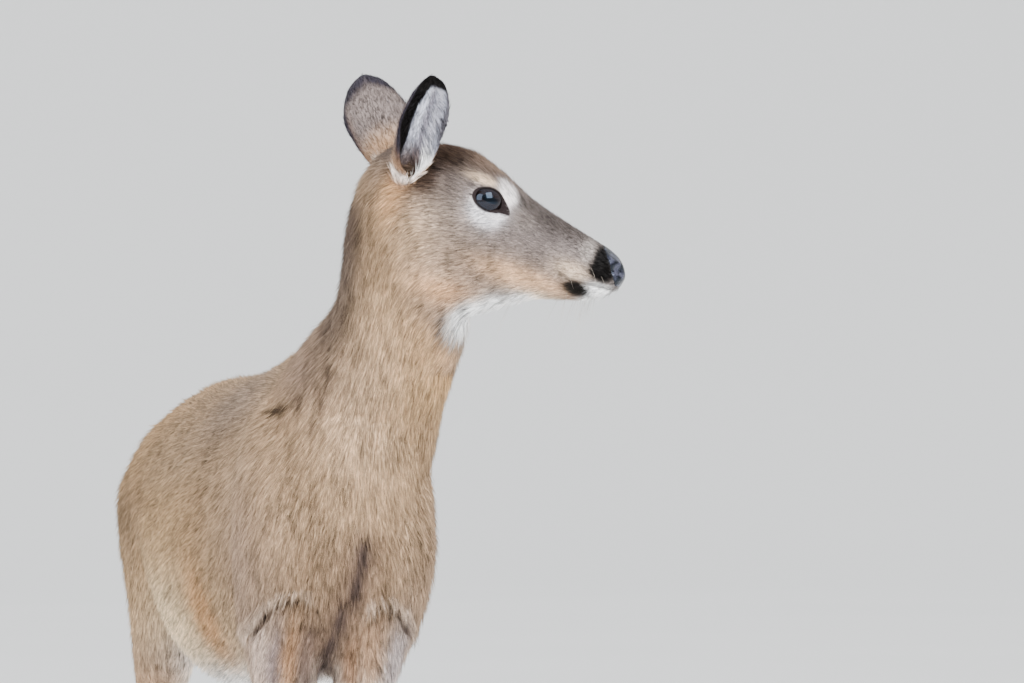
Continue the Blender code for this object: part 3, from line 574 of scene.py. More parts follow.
# down the middle of the chest: a broad darker band and a narrow dark line, partly the hair parted there,
# partly painted shade in the groove between the forelegs
MEDIAN_LINE = ((0.012, -0.362, 0.58), (0.005, -0.352, 0.545), (-0.009, -0.335, 0.51),
               (-0.014, -0.305, 0.475), (-0.015, -0.26, 0.445), (-0.01, -0.21, 0.425))
MEDIAN_MARKS = (tuple(Mark(at, (0.024, 0.03, 0.028), (150, 129, 114), 0.55, 1.6) for at in MEDIAN_LINE)
                + tuple(Mark(at, (0.008, 0.03, 0.022), (84, 75, 76), 0.85, 2) for at in MEDIAN_LINE))

# left of the middle plane, and z: where the shoulder's skin folds over the top of each foreleg
FOLDS = (((-0.0985, 0.49), (-0.0915, 0.505), (-0.086, 0.515), (-0.0705, 0.523), (-0.0535, 0.527)),
         ((0.0295, 0.513), (0.0435, 0.52), (0.0645, 0.505), (0.0755, 0.489)))
FOLD_BACK = -0.24                    # the folds lie before this

# the row frame's own x, y, z: small dark flecks where the winter coat has parted
FLECKS = tuple(Mark(at, reach, (22, 18, 18), 1, 3) for at, reach in (
    ((-0.145, -0.262, 0.737), (0.0055, 0.022, 0.0028)),
    ((-0.14, -0.28, 0.7405), (0.0055, 0.022, 0.0036)),
    ((-0.135, -0.296, 0.745), (0.0055, 0.022, 0.0028)),
)) + tuple(Mark(at, (0.0028, 0.02, 0.01), (88, 76, 70), 0.7, 2) for at in (
    (-0.108, -0.352, 0.751), (-0.117, -0.344, 0.724), (-0.101, -0.359, 0.782), (-0.128, -0.322, 0.752)))

# how long the hair is, in metres: head, then body
HEAD_LENGTHS = (
    Mark((-0.09, 0, -0.08), (0.05, 0.08, 0.08), (0.018,)),
    Mark((-0.02, 0, -0.06), (0.05, 0.08, 0.05), (0.012,)),
    Mark((0.06, 0, -0.02), (0.06, 0.06, 0.04), (0.0065,)),
    Mark((0.13, 0, -0.02), (0.04, 0.06, 0.04), (0.0045,), 1, 2),
    Mark((-0.04, 0, 0.045), (0.04, 0.035, 0.02), (0.0125,), 1, 2),
    Mark((0.003, 0.046, -0.006), (0.032, 0.02, 0.029), (0.0052,), 1, 3),
    Mark((0.05, 0, -0.115), (0.05, 0.03, 0.03), (0.015,), 1, 2),
    Mark((0.02, 0, -0.14), (0.026, 0.03, 0.024), (0.026,), 1, 2),
)
BODY_LENGTHS = (
    Mark((0, -0.02, 0.42), (0.09, 0.4, 0.05), (0.026,)),
    Mark((0, -0.33, 0.52), (0.06, 0.06, 0.08), (0.022,)),
    Mark((0.06, -0.29, 0.3), (0.08, 0.09, 0.14), (0.011,), 1, 3),
    Mark((0.06, -0.29, 0.12), (0.08, 0.09, 0.13), (0.0085,), 1, 3),
    Mark((0.06, 0.38, 0.33), (0.1, 0.16, 0.12), (0.013,), 1, 3),
    Mark((0.06, 0.4, 0.13), (0.1, 0.12, 0.14), (0.009,), 1, 3),
    Mark((0, 0.49, 0.56), (0.045, 0.06, 0.12), (0.03,), 1, 2),
)

HEAD_LIES = mirrored((
    Lie((0.15, 0, -0.004), (-1, 0, 0.2), 0.02),
    Lie((0.14, 0.024, -0.03), (-1, 0.2, -0.1), 0.02),
    Lie((0.11, 0.028, -0.02), (-1, 0.1, -0.05), 0.03),
    Lie((0.1, 0, 0.005), (-1, 0, 0.1), 0.03),
    Lie((0.1, 0.026, -0.045), (-0.95, 0, -0.25), 0.025),
    Lie((0.145, 0.01, -0.055), (-0.8, 0, -0.5), 0.02),
    Lie((0.06, 0.036, -0.02), (-1, 0.2, -0.1), 0.03),
    Lie((0.06, 0.03, -0.06), (-0.95, 0, -0.3), 0.03),
    Lie((0.05, 0, 0.022), (-1, 0, 0.3), 0.03),
    Lie((0.02, 0.034, 0.022), (-0.8, 0.4, 0.4), 0.018),
    Lie((-0.004, 0.044, 0.024), (-1, 0.2, 0.15), 0.016),
    Lie((0, 0.05, -0.032), (-0.85, 0, -0.5), 0.02),
    Lie((-0.034, 0.05, 0), (-1, 0, -0.05), 0.022),
    Lie((-0.03, 0.05, -0.045), (-0.92, 0, -0.38), 0.035),
    Lie((0.01, 0.04, -0.085), (-0.9, 0, -0.42), 0.035),
    Lie((-0.03, 0.036, -0.1), (-0.8, 0, -0.6), 0.035),
    Lie((-0.01, 0, 0.044), (-1, 0, 0.05), 0.03),
    Lie((-0.06, 0.012, 0.042), (-1, 0.1, 0.1), 0.025),
    Lie((-0.08, 0.048, -0.02), (-0.85, 0, -0.5), 0.025),
    Lie((-0.08, 0.045, -0.075), (-0.65, 0, -0.76), 0.035),
    Lie((-0.105, 0, 0), (-0.8, 0, -0.6), 0.035),
    Lie((0.05, 0, -0.11), (-0.85, 0, -0.55), 0.03),
    Lie((0.02, 0, -0.14), (-0.55, 0, -0.85), 0.025),
), 1)
NECK_LIES = (
    Lie((-0.085, -0.385, 0.9), (-0.15, 0.05, -1), 0.06),
    Lie((-0.055, -0.414, 0.824), (-0.25, 0.05, -1), 0.07),
    Lie((0.01, -0.42, 0.82), (-0.1, 0.1, -1), 0.06),
    Lie((-0.105, -0.33, 0.83), (-0.35, 0.35, -0.85), 0.06),
    Lie((-0.08, -0.27, 0.85), (-0.35, 0.45, -0.8), 0.06),
    Lie((0.02, -0.33, 0.84), (0, 0.25, -1), 0.06),
    Lie((-0.11, -0.33, 0.7), (-0.25, 0.25, -0.95), 0.07),
    Lie((-0.04, -0.38, 0.69), (-0.12, 0.1, -1), 0.07),
    Lie((-0.135, -0.22, 0.76), (-0.25, 0.75, -0.6), 0.06),
    Lie((0, -0.22, 0.74), (0.2, 0.6, -0.75), 0.06),
)
BODY_LIES = mirrored((
    Lie((0, -0.15, 0.8), (0, 1, -0.15), 0.1),
    Lie((0, 0.15, 0.79), (0, 1, 0), 0.12),
    Lie((0, 0.38, 0.75), (0, 1, -0.3), 0.1),
    Lie((0.1, -0.05, 0.74), (0.1, 0.85, -0.5), 0.1),
    Lie((0.13, -0.18, 0.66), (0, 0.45, -0.9), 0.1),
    Lie((0.12, -0.28, 0.6), (0, 0.2, -1), 0.08),
    Lie((0.05, -0.36, 0.6), (0.15, 0.1, -1), 0.08),
    Lie((0, -0.37, 0.56), (0, 0.15, -1), 0.05),
    Lie((0, -0.32, 0.49), (0, 0.5, -0.85), 0.05),
    Lie((0.13, 0, 0.6), (0, 0.75, -0.65), 0.12),
    Lie((0.13, 0.16, 0.62), (0, 0.8, -0.6), 0.12),
    Lie((0.11, 0.1, 0.48), (0, 0.85, -0.5), 0.1),
    Lie((0, 0, 0.41), (0, 1, 0), 0.12),
    Lie((0, 0.2, 0.43), (0, 0.9, 0.3), 0.1),
    Lie((0.12, 0.34, 0.62), (0, 0.5, -0.85), 0.12),
    Lie((0.07, 0.47, 0.62), (0, 0.15, -1), 0.08),
    Lie((0.1, 0.28, 0.5), (0, 0.3, -0.95), 0.08),
    Lie((0.08, 0.38, 0.4), (0, 0.3, -0.95), 0.1),
    Lie((0.055, 0.42, 0.2), (0, 0, -1), 0.14),
    Lie((0.055, 0.39, 0.08), (0, -0.1, -1), 0.08),
    Lie((0.06, -0.25, 0.35), (0, 0.1, -1), 0.12),
    Lie((0.095, -0.28, 0.46), (0.45, 0.15, -0.9), 0.05),
    Lie((0.05, -0.31, 0.46), (0.25, 0.1, -0.95), 0.04),
    Lie((0.05, -0.27, 0.13), (0, 0.05, -1), 0.12),
    Lie((0, 0.49, 0.56), (0, 0.15, -1), 0.06),
), 0)


# ---- the skin ----
class Region(IntEnum):
    """The parts of the coat, each of which becomes a piece of its own."""

    FACE = 0
    CHEEKS = 1
    NECK = 2
    SHOULDER_RIGHT = 3
    SHOULDER_LEFT = 4
    HAUNCH_RIGHT = 5
    HAUNCH_LEFT = 6
    FORELEGS = 7
    HIND_LEGS = 8
    TAIL = 9
    EAR_RIGHT = 10
    EAR_LEFT = 11


NODE_REGIONS = {"head": Region.CHEEKS, "nose": Region.FACE, "neck": Region.NECK, "tail": Region.TAIL}
FACE_STARTS = 0.012          # the face piece lies this far before the eyes and on
SIDES_PART_Y = 0.02         # where shoulder pieces end and haunch pieces begin


@dataclass
class Eye:
    """Where one eye sits, and the opening of its lids."""

    word: str
    head: HeadAxes
    half_width: float = 0.0176       # of the opening, along the head
    half_height: float = 0.0124
    corner_reach: float = 0.0085     # the tear corner runs on this far towards the nose
    corner_fall: float = 0.0048
    forward_turn: float = 0.16       # the eye looks a little to the front
    upward_turn: float = 0.1
    set_back: Place = (-0.002, 0.0, -0.001)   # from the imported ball's middle: along, left, up
    flatness: float = 0.13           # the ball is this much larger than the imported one, and sits deeper
    middle: Array = field(init=False)
    side: float = field(init=False)
    axes: Array = field(init=False)  # along, up, out
    radius: float = field(init=False)

    def __post_init__(self) -> None:
        """Works out the eye's own axes."""
        self.radius = self.head.eye_radius * (1.0 + self.flatness)
        self.middle = node_middle(f"eye_{self.word}") + self.head.turned(self.set_back)
        self.side = 1.0 if self.word == "left" else -1.0
        out = unit(self.head.left * self.side + self.head.nose * self.forward_turn
                   + self.head.crown * self.upward_turn)
        along = unit(self.head.nose - out * float(self.head.nose @ out))
        rise = np.cross(out, along) * self.side
        rise = rise if rise @ self.head.crown > 0 else -rise
        self.axes = np.array((along, rise, out))
        self.middle = self.middle - out * self.head.eye_radius * self.flatness

    def local(self, points: Array) -> Array:
        """Places as along, up and out from the middle of the ball."""
        return (points - self.middle) @ self.axes.T

    def opening(self, angle: Array, scale: float) -> tuple[Array, Array]:
        """The lids' edge at an angle, or a curve that many times as wide.

        Args:
            angle: 0 towards the nose, rising to the crown.
            scale: how many times the opening's size.

        Returns:
            How far along and how far up the curve runs.
        """
        point = np.maximum(np.cos(angle), 0.0) ** 7
        along = scale * self.half_width * np.cos(angle) + self.corner_reach * point * min(scale, 1.2)
        brow = 1.0 - 0.1 * np.maximum(-np.cos(angle), 0.0) ** 2
        rise = scale * self.half_height * np.sin(angle) * brow - self.corner_fall * point
        return along, rise

    def depth(self, along: Array, rise: Array) -> Array:
        """How far out the ball's surface lies, flattening past its edge."""
        share = (along**2 + rise**2) / self.radius**2
        return self.radius * np.sqrt(np.maximum(1.0 - share, 0.18))

    def inside(self, points: Array) -> Array:
        """How far inside the opening each place is.

        Args:
            points: places in the row frame.

        Returns:
            1 at the middle, 0 on the lids' edge, less outside.
        """
        along, rise, _ = self.local(points).T
        edge = np.column_stack(self.opening(np.linspace(-np.pi, np.pi, 361), 1.0))
        turns = np.arctan2(edge[:, 1], edge[:, 0])
        order = np.argsort(turns)
        reach = np.interp(np.arctan2(rise, along), turns[order], np.linalg.norm(edge, axis=1)[order],
                          period=2 * np.pi)
        return 1.0 - np.hypot(along, rise) / reach


@dataclass
class Skin:
    """The hide under the coat: one mesh over all the flesh, with the face's folds worked into it."""

    head: HeadAxes
    body: BodyAxes
    eyes: Sequence[Eye]
    head_detail: float = 0.036       # faces this near an eye are halved once more
    depth_share: float = 0.11        # of the hair's length: how deep under the coat's surface the skin lies
    least_depth: float = 0.0003
    fold_height: float = 0.0035
    fold_depth: float = 0.004
    mesh: Mesh = field(init=False)
    regions: Array = field(init=False)

    def build(self) -> Mesh:
        """Makes the skin's mesh.

        Returns:
            The mesh, with the coat's fields stored on it.
        """
        self.mesh = self.remeshed(self.joined_flesh())
        self.smooth(GROUND_SMOOTHING)
        self.refine(self.near_face)
        self.smooth(3, only=self.near_face)
        self.refine(self.near_detail)
        self.smooth(2, only=self.near_detail)
        self.refine(self.near_fold)
        self.work_face()
        self.work_folds()
        self.mark_regions()
        self.store_fields()
        return self.mesh

    def joined_flesh(self) -> Mesh:
        """Copies of all the flesh and the eyes, merged and a little swollen so that they run together."""
        joined = bmesh.new()
        for name in FLESH + EYES:
            copy = frame["nodes"][name].data.copy()
            with opened(copy) as piece:
                bmesh.ops.remove_doubles(piece, verts=piece.verts, dist=1e-5)
                piece.normal_update()
                for vertex in piece.verts:
                    vertex.co += vertex.normal * (0.0 if name in EYES else OVERLAP)
            joined.from_mesh(copy)
            bpy.data.meshes.remove(copy)
        mesh = bpy.data.meshes.new("flesh")
        joined.to_mesh(mesh)
        joined.free()
        return mesh

    def remeshed(self, mesh: Mesh) -> Mesh:
        """The outer surface of the joined flesh, as even small quads.

        Args:
            mesh: the joined flesh, which is used up.

        Returns:
            The new mesh.
        """
        shell = add_object("flesh", mesh)
        remesh = shell.modifiers.new("skin", "REMESH")
        remesh.mode, remesh.voxel_size = "VOXEL", VOXEL
        made = evaluated(shell, "skin")
        bpy.data.objects.remove(shell)
        bpy.data.meshes.remove(mesh)
        with opened(made) as outer:
            self.keep_largest(outer)
        return made

    @staticmethod
    def keep_largest(shell: bmesh.types.BMesh) -> None:
        """Deletes every loose part but the largest, such as bubbles left inside the flesh.

        Args:
            shell: the mesh, opened for editing.
        """
        rest, largest = set(shell.verts), set()
        while rest:
            reached = {rest.pop()}
            part = set(reached)
            while reached:
                reached = {edge.other_vert(v) for v in reached for edge in v.link_edges} - part
                part |= reached
            rest -= part
            largest = max(largest, part, key=len)
        bmesh.ops.delete(shell, geom=list(set(shell.verts) - largest), context="VERTS")

    def smooth(self, rounds: int, only: Callable[[Array], Array] | None = None) -> None:
        """Evens the mesh out, without shrinking it much.

        Args:
            rounds: how many times.
            only: a function that says which places take part.
        """
        points = points_of(self.mesh)
        first, second = read(self.mesh.edges, "vertices", 2, np.int32).T
        count = np.bincount(first, minlength=len(points)) + np.bincount(second, minlength=len(points))
        share = np.ones(len(points)) if only is None else only(points).astype(float)
        for _ in range(rounds):
            for pull in (0.5, -0.47):
                total = np.column_stack([
                    np.bincount(first, points[second, k], len(points))
                    + np.bincount(second, points[first, k], len(points)) for k in range(3)])
                points = points + (total / np.maximum(count, 1)[:, None] - points) * (pull * share)[:, None]
        set_points(self.mesh, points)

    def near_face(self, points: Array) -> Array:
        """Which places are on the head."""
        along, side, up = self.head.local(points).T
        return (along > -0.085) & (np.abs(side) < 0.09) & (up > -0.155)

    def near_detail(self, points: Array) -> Array:
        """Which places are by an eye, the nose or the mouth."""
        along, _, up = self.head.local(points).T
        near = (along > 0.135) | ((along > 0.09) & (np.abs(up + 0.044) < 0.01))
        for eye in self.eyes:
            near |= np.linalg.norm(points - eye.middle, axis=1) < self.head_detail
        return near

    def near_fold(self, points: Array) -> Array:
        """Which places are by the folds over the foreleg tops."""
        return np.maximum(*self.folds(points)) > 0.05

    def work_folds(self) -> None:
        """Rolls the shoulder's skin over the tops of the forelegs."""
        points = points_of(self.mesh)
        crease, roll = self.folds(points)
        push = self.fold_height * roll - self.fold_depth * crease
        set_points(self.mesh, points + normals_of(self.mesh) * push[:, None])

    def refine(self, where: Callable[[Array], Array]) -> None:
        """Halves the edges of the faces in a place.

        Args:
            where: a function that says which places are refined.
        """
        with opened(self.mesh) as shell:
            chosen = where(np.array([face.calc_center_median()[:] for face in shell.faces]))
            edges = {edge for face, take in zip(shell.faces, chosen) if take for edge in face.edges}
            bmesh.ops.subdivide_edges(shell, edges=list(edges), cuts=1, use_grid_fill=True)

    def work_face(self) -> None:
        """Opens the eyes, and works nostrils, lips, chin groove and tear pits into the skin."""
        points = points_of(self.mesh)
        normals = normals_of(self.mesh)
        for eye in self.eyes:
            inside = eye.inside(points)
            offset = points - eye.middle
            away = np.linalg.norm(offset, axis=1)
            facing = eye.local(points)[:, 2] > 0.2 * eye.radius
            near = facing & (away < 1.5 * eye.radius)
            wanted = np.where(inside > 0.06, eye.radius * 0.86, away)
            points = np.where(near[:, None], eye.middle + offset / away[:, None] * wanted[:, None], points)
        local, even = self.head.local(points), self.head.even(points)
        push = np.zeros(len(points))
        for at, spread, amount in (
                ((0.1625, 0.018, -0.0165), (0.005, 0.006, 0.0032), -0.0055),   # nostril, front
                ((0.1565, 0.0215, -0.0215), (0.005, 0.006, 0.0028), -0.0042),   # nostril, its tail
                ((0.162, 0.02, -0.0105), (0.008, 0.008, 0.003), 0.0012),    # rim over the nostril
                ((0.165, 0.017, -0.025), (0.007, 0.008, 0.003), 0.001),    # rim under it
                ((0.0365, 0.037, -0.006), (0.007, 0.008, 0.0022), -0.0022),   # tear pit
                ((0.143, 0.024, -0.034), (0.014, 0.012, 0.005), 0.001),    # upper lip
                ((0.13, 0.02, -0.053), (0.016, 0.012, 0.005), 0.0008),    # lower lip
        ):
            away = (((even - np.array(at)) / np.array(spread)) ** 2).sum(axis=1)
            push += amount * np.exp(-0.5 * away)
        mouth = self.away_from_mouth(local)
        push -= 0.0022 * np.exp(-0.5 * (mouth / 0.0013) ** 2)
        front = (local[:, 0] > 0.16) & (local[:, 2] < -0.012)
        push -= 0.0012 * np.exp(-0.5 * (local[:, 1] / 0.0012) ** 2) * front
        set_points(self.mesh, points + normals * push[:, None])

    @staticmethod
    def away_from_mouth(local: Array) -> Array:
        """How far each place on the head is from the line where the lips meet, seen from the side."""
        return np.abs(from_line(local[:, (0, 2)], MOUTH_LINE))

    def folds(self, points: Array) -> tuple[Array, Array]:
        """How far each place is in the fold over a foreleg.

        Args:
            points: places in the row frame.

        Returns:
            How far in its crease, and how far on the roll above that.
        """
        local = self.body.local(points)
        before = 1.0 - ease(local[:, 1], FOLD_BACK - 0.02, FOLD_BACK + 0.02)
        crease, roll = np.zeros(len(points)), np.zeros(len(points))
        for line in FOLDS:
            away = from_line(local[:, (0, 2)], line)
            crease = np.maximum(crease, before * np.exp(-((away + 0.0014) / 0.0032) ** 2))
            roll = np.maximum(roll, before * np.exp(-((away - 0.007) / 0.005) ** 2))
        return crease, roll

    def nose_pad(self, local: Array) -> Array:
        """How far onto the bare nose each place on the head is: 0 in the fur, 1 on the pad."""
        onto = (local[:, 0] - 0.142) * 0.803 + local[:, 2] * 0.596
        under = local[:, 2] + 0.035 - (local[:, 0] - 0.16) * 0.1
        return ease(onto, -0.0008, 0.0008) * ease(under, -0.0008, 0.0008)

    def mark_regions(self) -> None:
        """Gives each face the part of the coat that grows on it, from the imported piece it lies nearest."""
        corners, faces, owners = [], [], []
        for name in FLESH:
            data = frame["nodes"][name].data
            start = len(corners)
            corners += [v.co[:] for v in data.vertices]
            faces += [[start + i for i in p.vertices] for p in data.polygons]
            owners += [name] * len(data.polygons)
        tree = BVHTree.FromPolygons(corners, faces)
        middles = read(self.mesh.polygons, "center", 3)
        side, far_back, _ = self.body.local(middles.astype(float)).T
        along = self.head.local(middles.astype(float))[:, 0]
        self.regions = np.zeros(len(middles), np.int32)
        for index, middle in enumerate(middles):
            owner = owners[tree.find_nearest(Vector(middle.tolist()))[2]]
            if owner == "trunk":
                fore = far_back[index] < SIDES_PART_Y
                region = ((Region.SHOULDER_LEFT if fore else Region.HAUNCH_LEFT) if side[index] > 0
                          else (Region.SHOULDER_RIGHT if fore else Region.HAUNCH_RIGHT))
            elif owner.startswith("fore"):
                region = Region.FORELEGS
            elif owner.startswith("hind"):
                region = Region.HIND_LEGS
            elif owner == "head" and along[index] > FACE_STARTS:
                region = Region.FACE
            else:
                region = NODE_REGIONS[owner]
            self.regions[index] = region
        store(self.mesh, "region", self.regions, "FACE")

    def owner_shares(self, points: Array) -> tuple[Array, Array]:
        """How far each place belongs to the head, and how far to the neck, by soft bounds.

        Args:
            points: places in the row frame.

        Returns:
            The head's share and the neck's share of what isn't the head's.
        """
        along, _, up = self.head.local(points).T
        jaw = 0.74 * (along + 0.052) + 0.66 * (up + 0.104)
        on_head = ease(jaw, -0.035, 0.035) * (points[:, 2] > 0.78)
        _, far_back, height = self.body.settled(points).T
        high = -0.72 * (far_back + 0.305) + 0.69 * (height - 0.715)
        on_neck = ease(high, -0.06, 0.08)
        return on_head, on_neck

    def store_fields(self) -> None:
        """Stores colour, length, lie and depth on the skin, and sinks it under the coat."""
        points = points_of(self.mesh)
        head_local, even = self.head.local(points), self.head.even(points)
        body_local = self.body.local(points)
        both = np.column_stack((np.abs(body_local[:, 0]), body_local[:, 1], body_local[:, 2]))
        on_head, on_neck = self.owner_shares(points)
        ones = np.ones((len(points), 1))

        trunk = laid_over(ones * hair(WINTER_BACK), both, BODY_MARKS, colours=True)
        trunk = laid_over(trunk, both, LEG_MARKS, colours=True)
        trunk = laid_over(trunk, body_local, LEG_TOP_MARKS + MEDIAN_MARKS, colours=True)
        crease, roll = self.folds(points)
        # painted light and shade at the folds over the forelegs: the roll above each fold paler as painted
        # light, its crease dark as painted shadow
        for share, colour in ((0.5 * roll, (208, 193, 181)), (0.85 * crease, (62, 50, 44))):
            trunk = blended(trunk, hair(colour), share)
        settled = self.body.settled(points)
        neck = laid_over(ones * hair(NECK_BASE), settled, NECK_MARKS, colours=True)
        face = laid_over(ones * hair(HEAD_BASE), even, HEAD_MARKS, colours=True)
        face = laid_over(face, head_local, CROWN_FLECKS, colours=True)
        colours = blended(blended(trunk, neck, on_neck), face, on_head)
        colours = laid_over(colours, settled, FLECKS, colours=True)

        head_length = laid_over(ones * 0.013, even, HEAD_LENGTHS)[:, 0]
        body_length = laid_over(ones * 0.018, both, BODY_LENGTHS)[:, 0]
        body_length = body_length * (1 - on_neck) + 0.0195 * on_neck
        length = body_length * (1 - on_head) + head_length * on_head

        face_lie = self.head.turned(combed(head_local, HEAD_LIES)[0])
        neck_lie = combed(settled, NECK_LIES)[0]
        body_lie = combed(body_local, BODY_LIES)[0]
        lie = blended(blended(body_lie, neck_lie, on_neck), face_lie, on_head)

        bare = self.nose_pad(head_local) * (on_head > 0.5)
        in_eye = np.zeros(len(points))
        for eye in self.eyes:
            near = np.linalg.norm(points - eye.middle, axis=1) < 1.6 * eye.radius
            in_eye = np.maximum(in_eye, near * ease(eye.inside(points), -0.16, -0.1))
        mouth = 0.8 * np.exp(-0.5 * (self.away_from_mouth(head_local) / 0.0011) ** 2) * (on_head > 0.5)
        growth = (1 - bare) * (1 - in_eye) * (1 - 0.9 * mouth)
        colours = blended(colours, linear((20, 20, 22)), bare) * (1 - 0.85 * mouth)[:, None]
        colours = blended(colours, linear((27, 19, 20)), in_eye)

        normals = normals_of(self.mesh)
        lie = unit(lie - normals * (lie * normals).sum(axis=1, keepdims=True))
        depth = (self.least_depth + self.depth_share * length) * growth
        set_points(self.mesh, points - normals * depth[:, None])

        store_coat(self.mesh, colours, length, growth, lie, bare)


# ---- ears and lids, which join the skin ----
def dress_ground(mesh: Mesh, colours: Array, length: Array, growth: Array, lie: Array,
                 region: int, unwrap: Array) -> None:
    """Stores the coat's fields on a small piece of ground such as an ear or a lid."""
    store_coat(mesh, colours, length, growth, lie, np.zeros(len(mesh.vertices)))
    store(mesh, "unwrap", unwrap)
    store(mesh, "region", np.full(len(mesh.polygons), region, np.int32), "FACE")


def both_sides(back: Array, cup: Array) -> Array:
    """Values over an ear's back and over its cup, in the order of the points of its shell."""
    return np.concatenate((back, cup[:, ::-1]), axis=1).reshape(-1, *back.shape[2:])


@dataclass
class Ear:
    """A leaf-shaped ear, rolled at its root and open along its length."""

    word: str
    head: HeadAxes
    root: Place                      # along, left, up, from midway between the eyes
    points: Place                    # level ahead, left, straight up
    opens: Place
    skull: Place = (-0.07, 0.0, -0.01)     # inside the head, where the root leads
    length: float = 0.1365
    breadth: float = 1.0             # of the sheet's width
    root_wall: float = 0.0032
    tip_wall: float = 0.0016
    rows: int = 64
    columns: int = 41
    buried: float = 0.16             # of its length: how far the root runs on inside the head
    shares: tuple[float, ...] = (0.0, 0.09, 0.18, 0.28, 0.42, 0.56, 0.7, 0.82, 0.91, 0.965, 1.0)
    half_arcs: tuple[float, ...] = (0.045, 0.047, 0.05, 0.052, 0.052, 0.05, 0.046, 0.0385, 0.0285, 0.0185,
                                    0.0045)
    half_turns: tuple[float, ...] = (178, 175, 146, 117, 95, 81, 71, 63, 57, 52, 45)

    def level_turned(self, direction: Place) -> Array:
        """A direction given level ahead, left and straight up, in the row frame."""
        ahead = unit(np.cross(self.head.left, UP))
        return ahead * direction[0] + self.head.left * direction[1] + UP * direction[2]

    def build(self) -> Mesh:
        """Makes the ear's shell.

        Returns:
            The mesh, with the coat's fields stored on it.
        """
        axis = unit(self.level_turned(self.points))
        opens = self.level_turned(self.opens)
        opens = unit(opens - axis * float(opens @ axis))
        across = np.cross(opens, axis)
        root = self.head.world(self.root)
        share = (1.0 + self.buried) * (1.0 - (1.0 - np.linspace(0, 1, self.rows)) ** 1.25) - self.buried
        sunk = ease(-share, -0.06, self.buried)[:, None]
        arc = smooth_through(self.shares, self.half_arcs, share) * self.breadth
        turn = np.radians(smooth_through(self.shares, self.half_turns, share))
        across_share = np.linspace(-1, 1, self.columns)
        angle = turn[:, None] * across_share[None, :]
        radius = (arc / turn)[:, None] * (1.0 - 0.62 * sunk)
        bow = 0.008 * np.sin(np.pi * np.maximum(share, 0.0))
        spine = root + axis * (self.length * share)[:, None] - opens * (0.016 + bow)[:, None]
        spine = spine + sunk * (self.head.world(self.skull) - spine) * 0.75
        middle = (spine[:, None, :] + across * (radius * np.sin(angle))[..., None]
                  + opens * (radius * (1 - np.cos(angle)))[..., None])
        ripple = 0.0009 * np.sin(share * 17.0)[:, None] * across_share[None, :] ** 4
        inward = unit(-across * np.sin(angle)[..., None] + opens * np.cos(angle)[..., None])
        middle = middle + inward * ripple[..., None]
        wall = (self.root_wall + (self.tip_wall - self.root_wall) * share)[:, None]
        wall = wall * (1.0 - 0.45 * np.abs(across_share[None, :]) ** 3)
        outer = middle - inward * (wall / 2)[..., None]
        inner = middle + inward * (wall / 2)[..., None]
        around = 2 * self.columns
        faces = [*grid_faces(self.rows, around, closed=True), tuple(range(around)),
                 tuple((self.rows - 1) * around + i for i in reversed(range(around)))]
        mesh = mesh_from(f"ear_{self.word}", both_sides(outer, inner), faces)
        face_outwards(mesh)

        rise = unit(np.gradient(middle, axis=0))
        side = unit(np.gradient(middle, axis=1))
        rear = 1.0 if across @ self.head.nose < 0 else -1.0
        place = across_share * rear
        colours, length = map(both_sides, self.back_look(share, place), self.cup_look(share, place))
        lie = both_sides(rise, rise - side * (0.75 * across_share)[None, :, None])
        flat, wide = np.meshgrid(share, across_share * 0.24, indexing="ij")
        unwrap = both_sides(*(np.dstack((start + wide, flat, 0 * flat)) for start in (0.25, 0.75)))
        growth = both_sides(np.full_like(flat, 1.0), np.full_like(flat, 0.75))
        dress_ground(mesh, colours, length, growth, unit(lie), Region[f"EAR_{self.word.upper()}"], unwrap)
        return mesh

    def back_look(self, share: Array, place: Array) -> tuple[Array, Array]:
        """Colour and hair length over the ear's back.

        Args:
            share: how far towards the tip, for each row.
            place: from the front edge, -1, to the rear edge, 1, for each column.

        Returns:
            Colours and lengths over rows and columns.
        """
        rise, side = np.meshgrid(share, place, indexing="ij")
        colours = np.ones(rise.shape + (3,)) * hair((126, 117, 114))
        for mask, colour in (
                ((1 - ease(rise, 0.16, 0.46)) * 0.9, (168, 142, 118)),
                (np.exp(-((rise - 0.1) / 0.05) ** 2) * 0.85 * ease(np.abs(side), 0.2, 0.5), (222, 216, 212)),
                (1 - ease(rise, 0.0, 0.07), (150, 124, 102)),
                (ease(side, 0.55, 0.95) * ease(rise, 0.08, 0.3) * (1 - ease(rise, 0.5, 0.8)) * 0.6,
                 (110, 84, 66)),
                (np.maximum(ease(rise + 0.12 * np.abs(side), 0.8, 0.92),
                            ease(np.abs(side), 0.74, 0.9) * ease(rise, 0.2, 0.45)), (56, 52, 60)),
        ):
            colours = blended(colours, hair(colour), mask)
        length = 0.0072 + 0.009 * (1 - ease(rise, 0.05, 0.25)) - 0.0022 * ease(rise, 0.8, 0.95)
        return colours, length

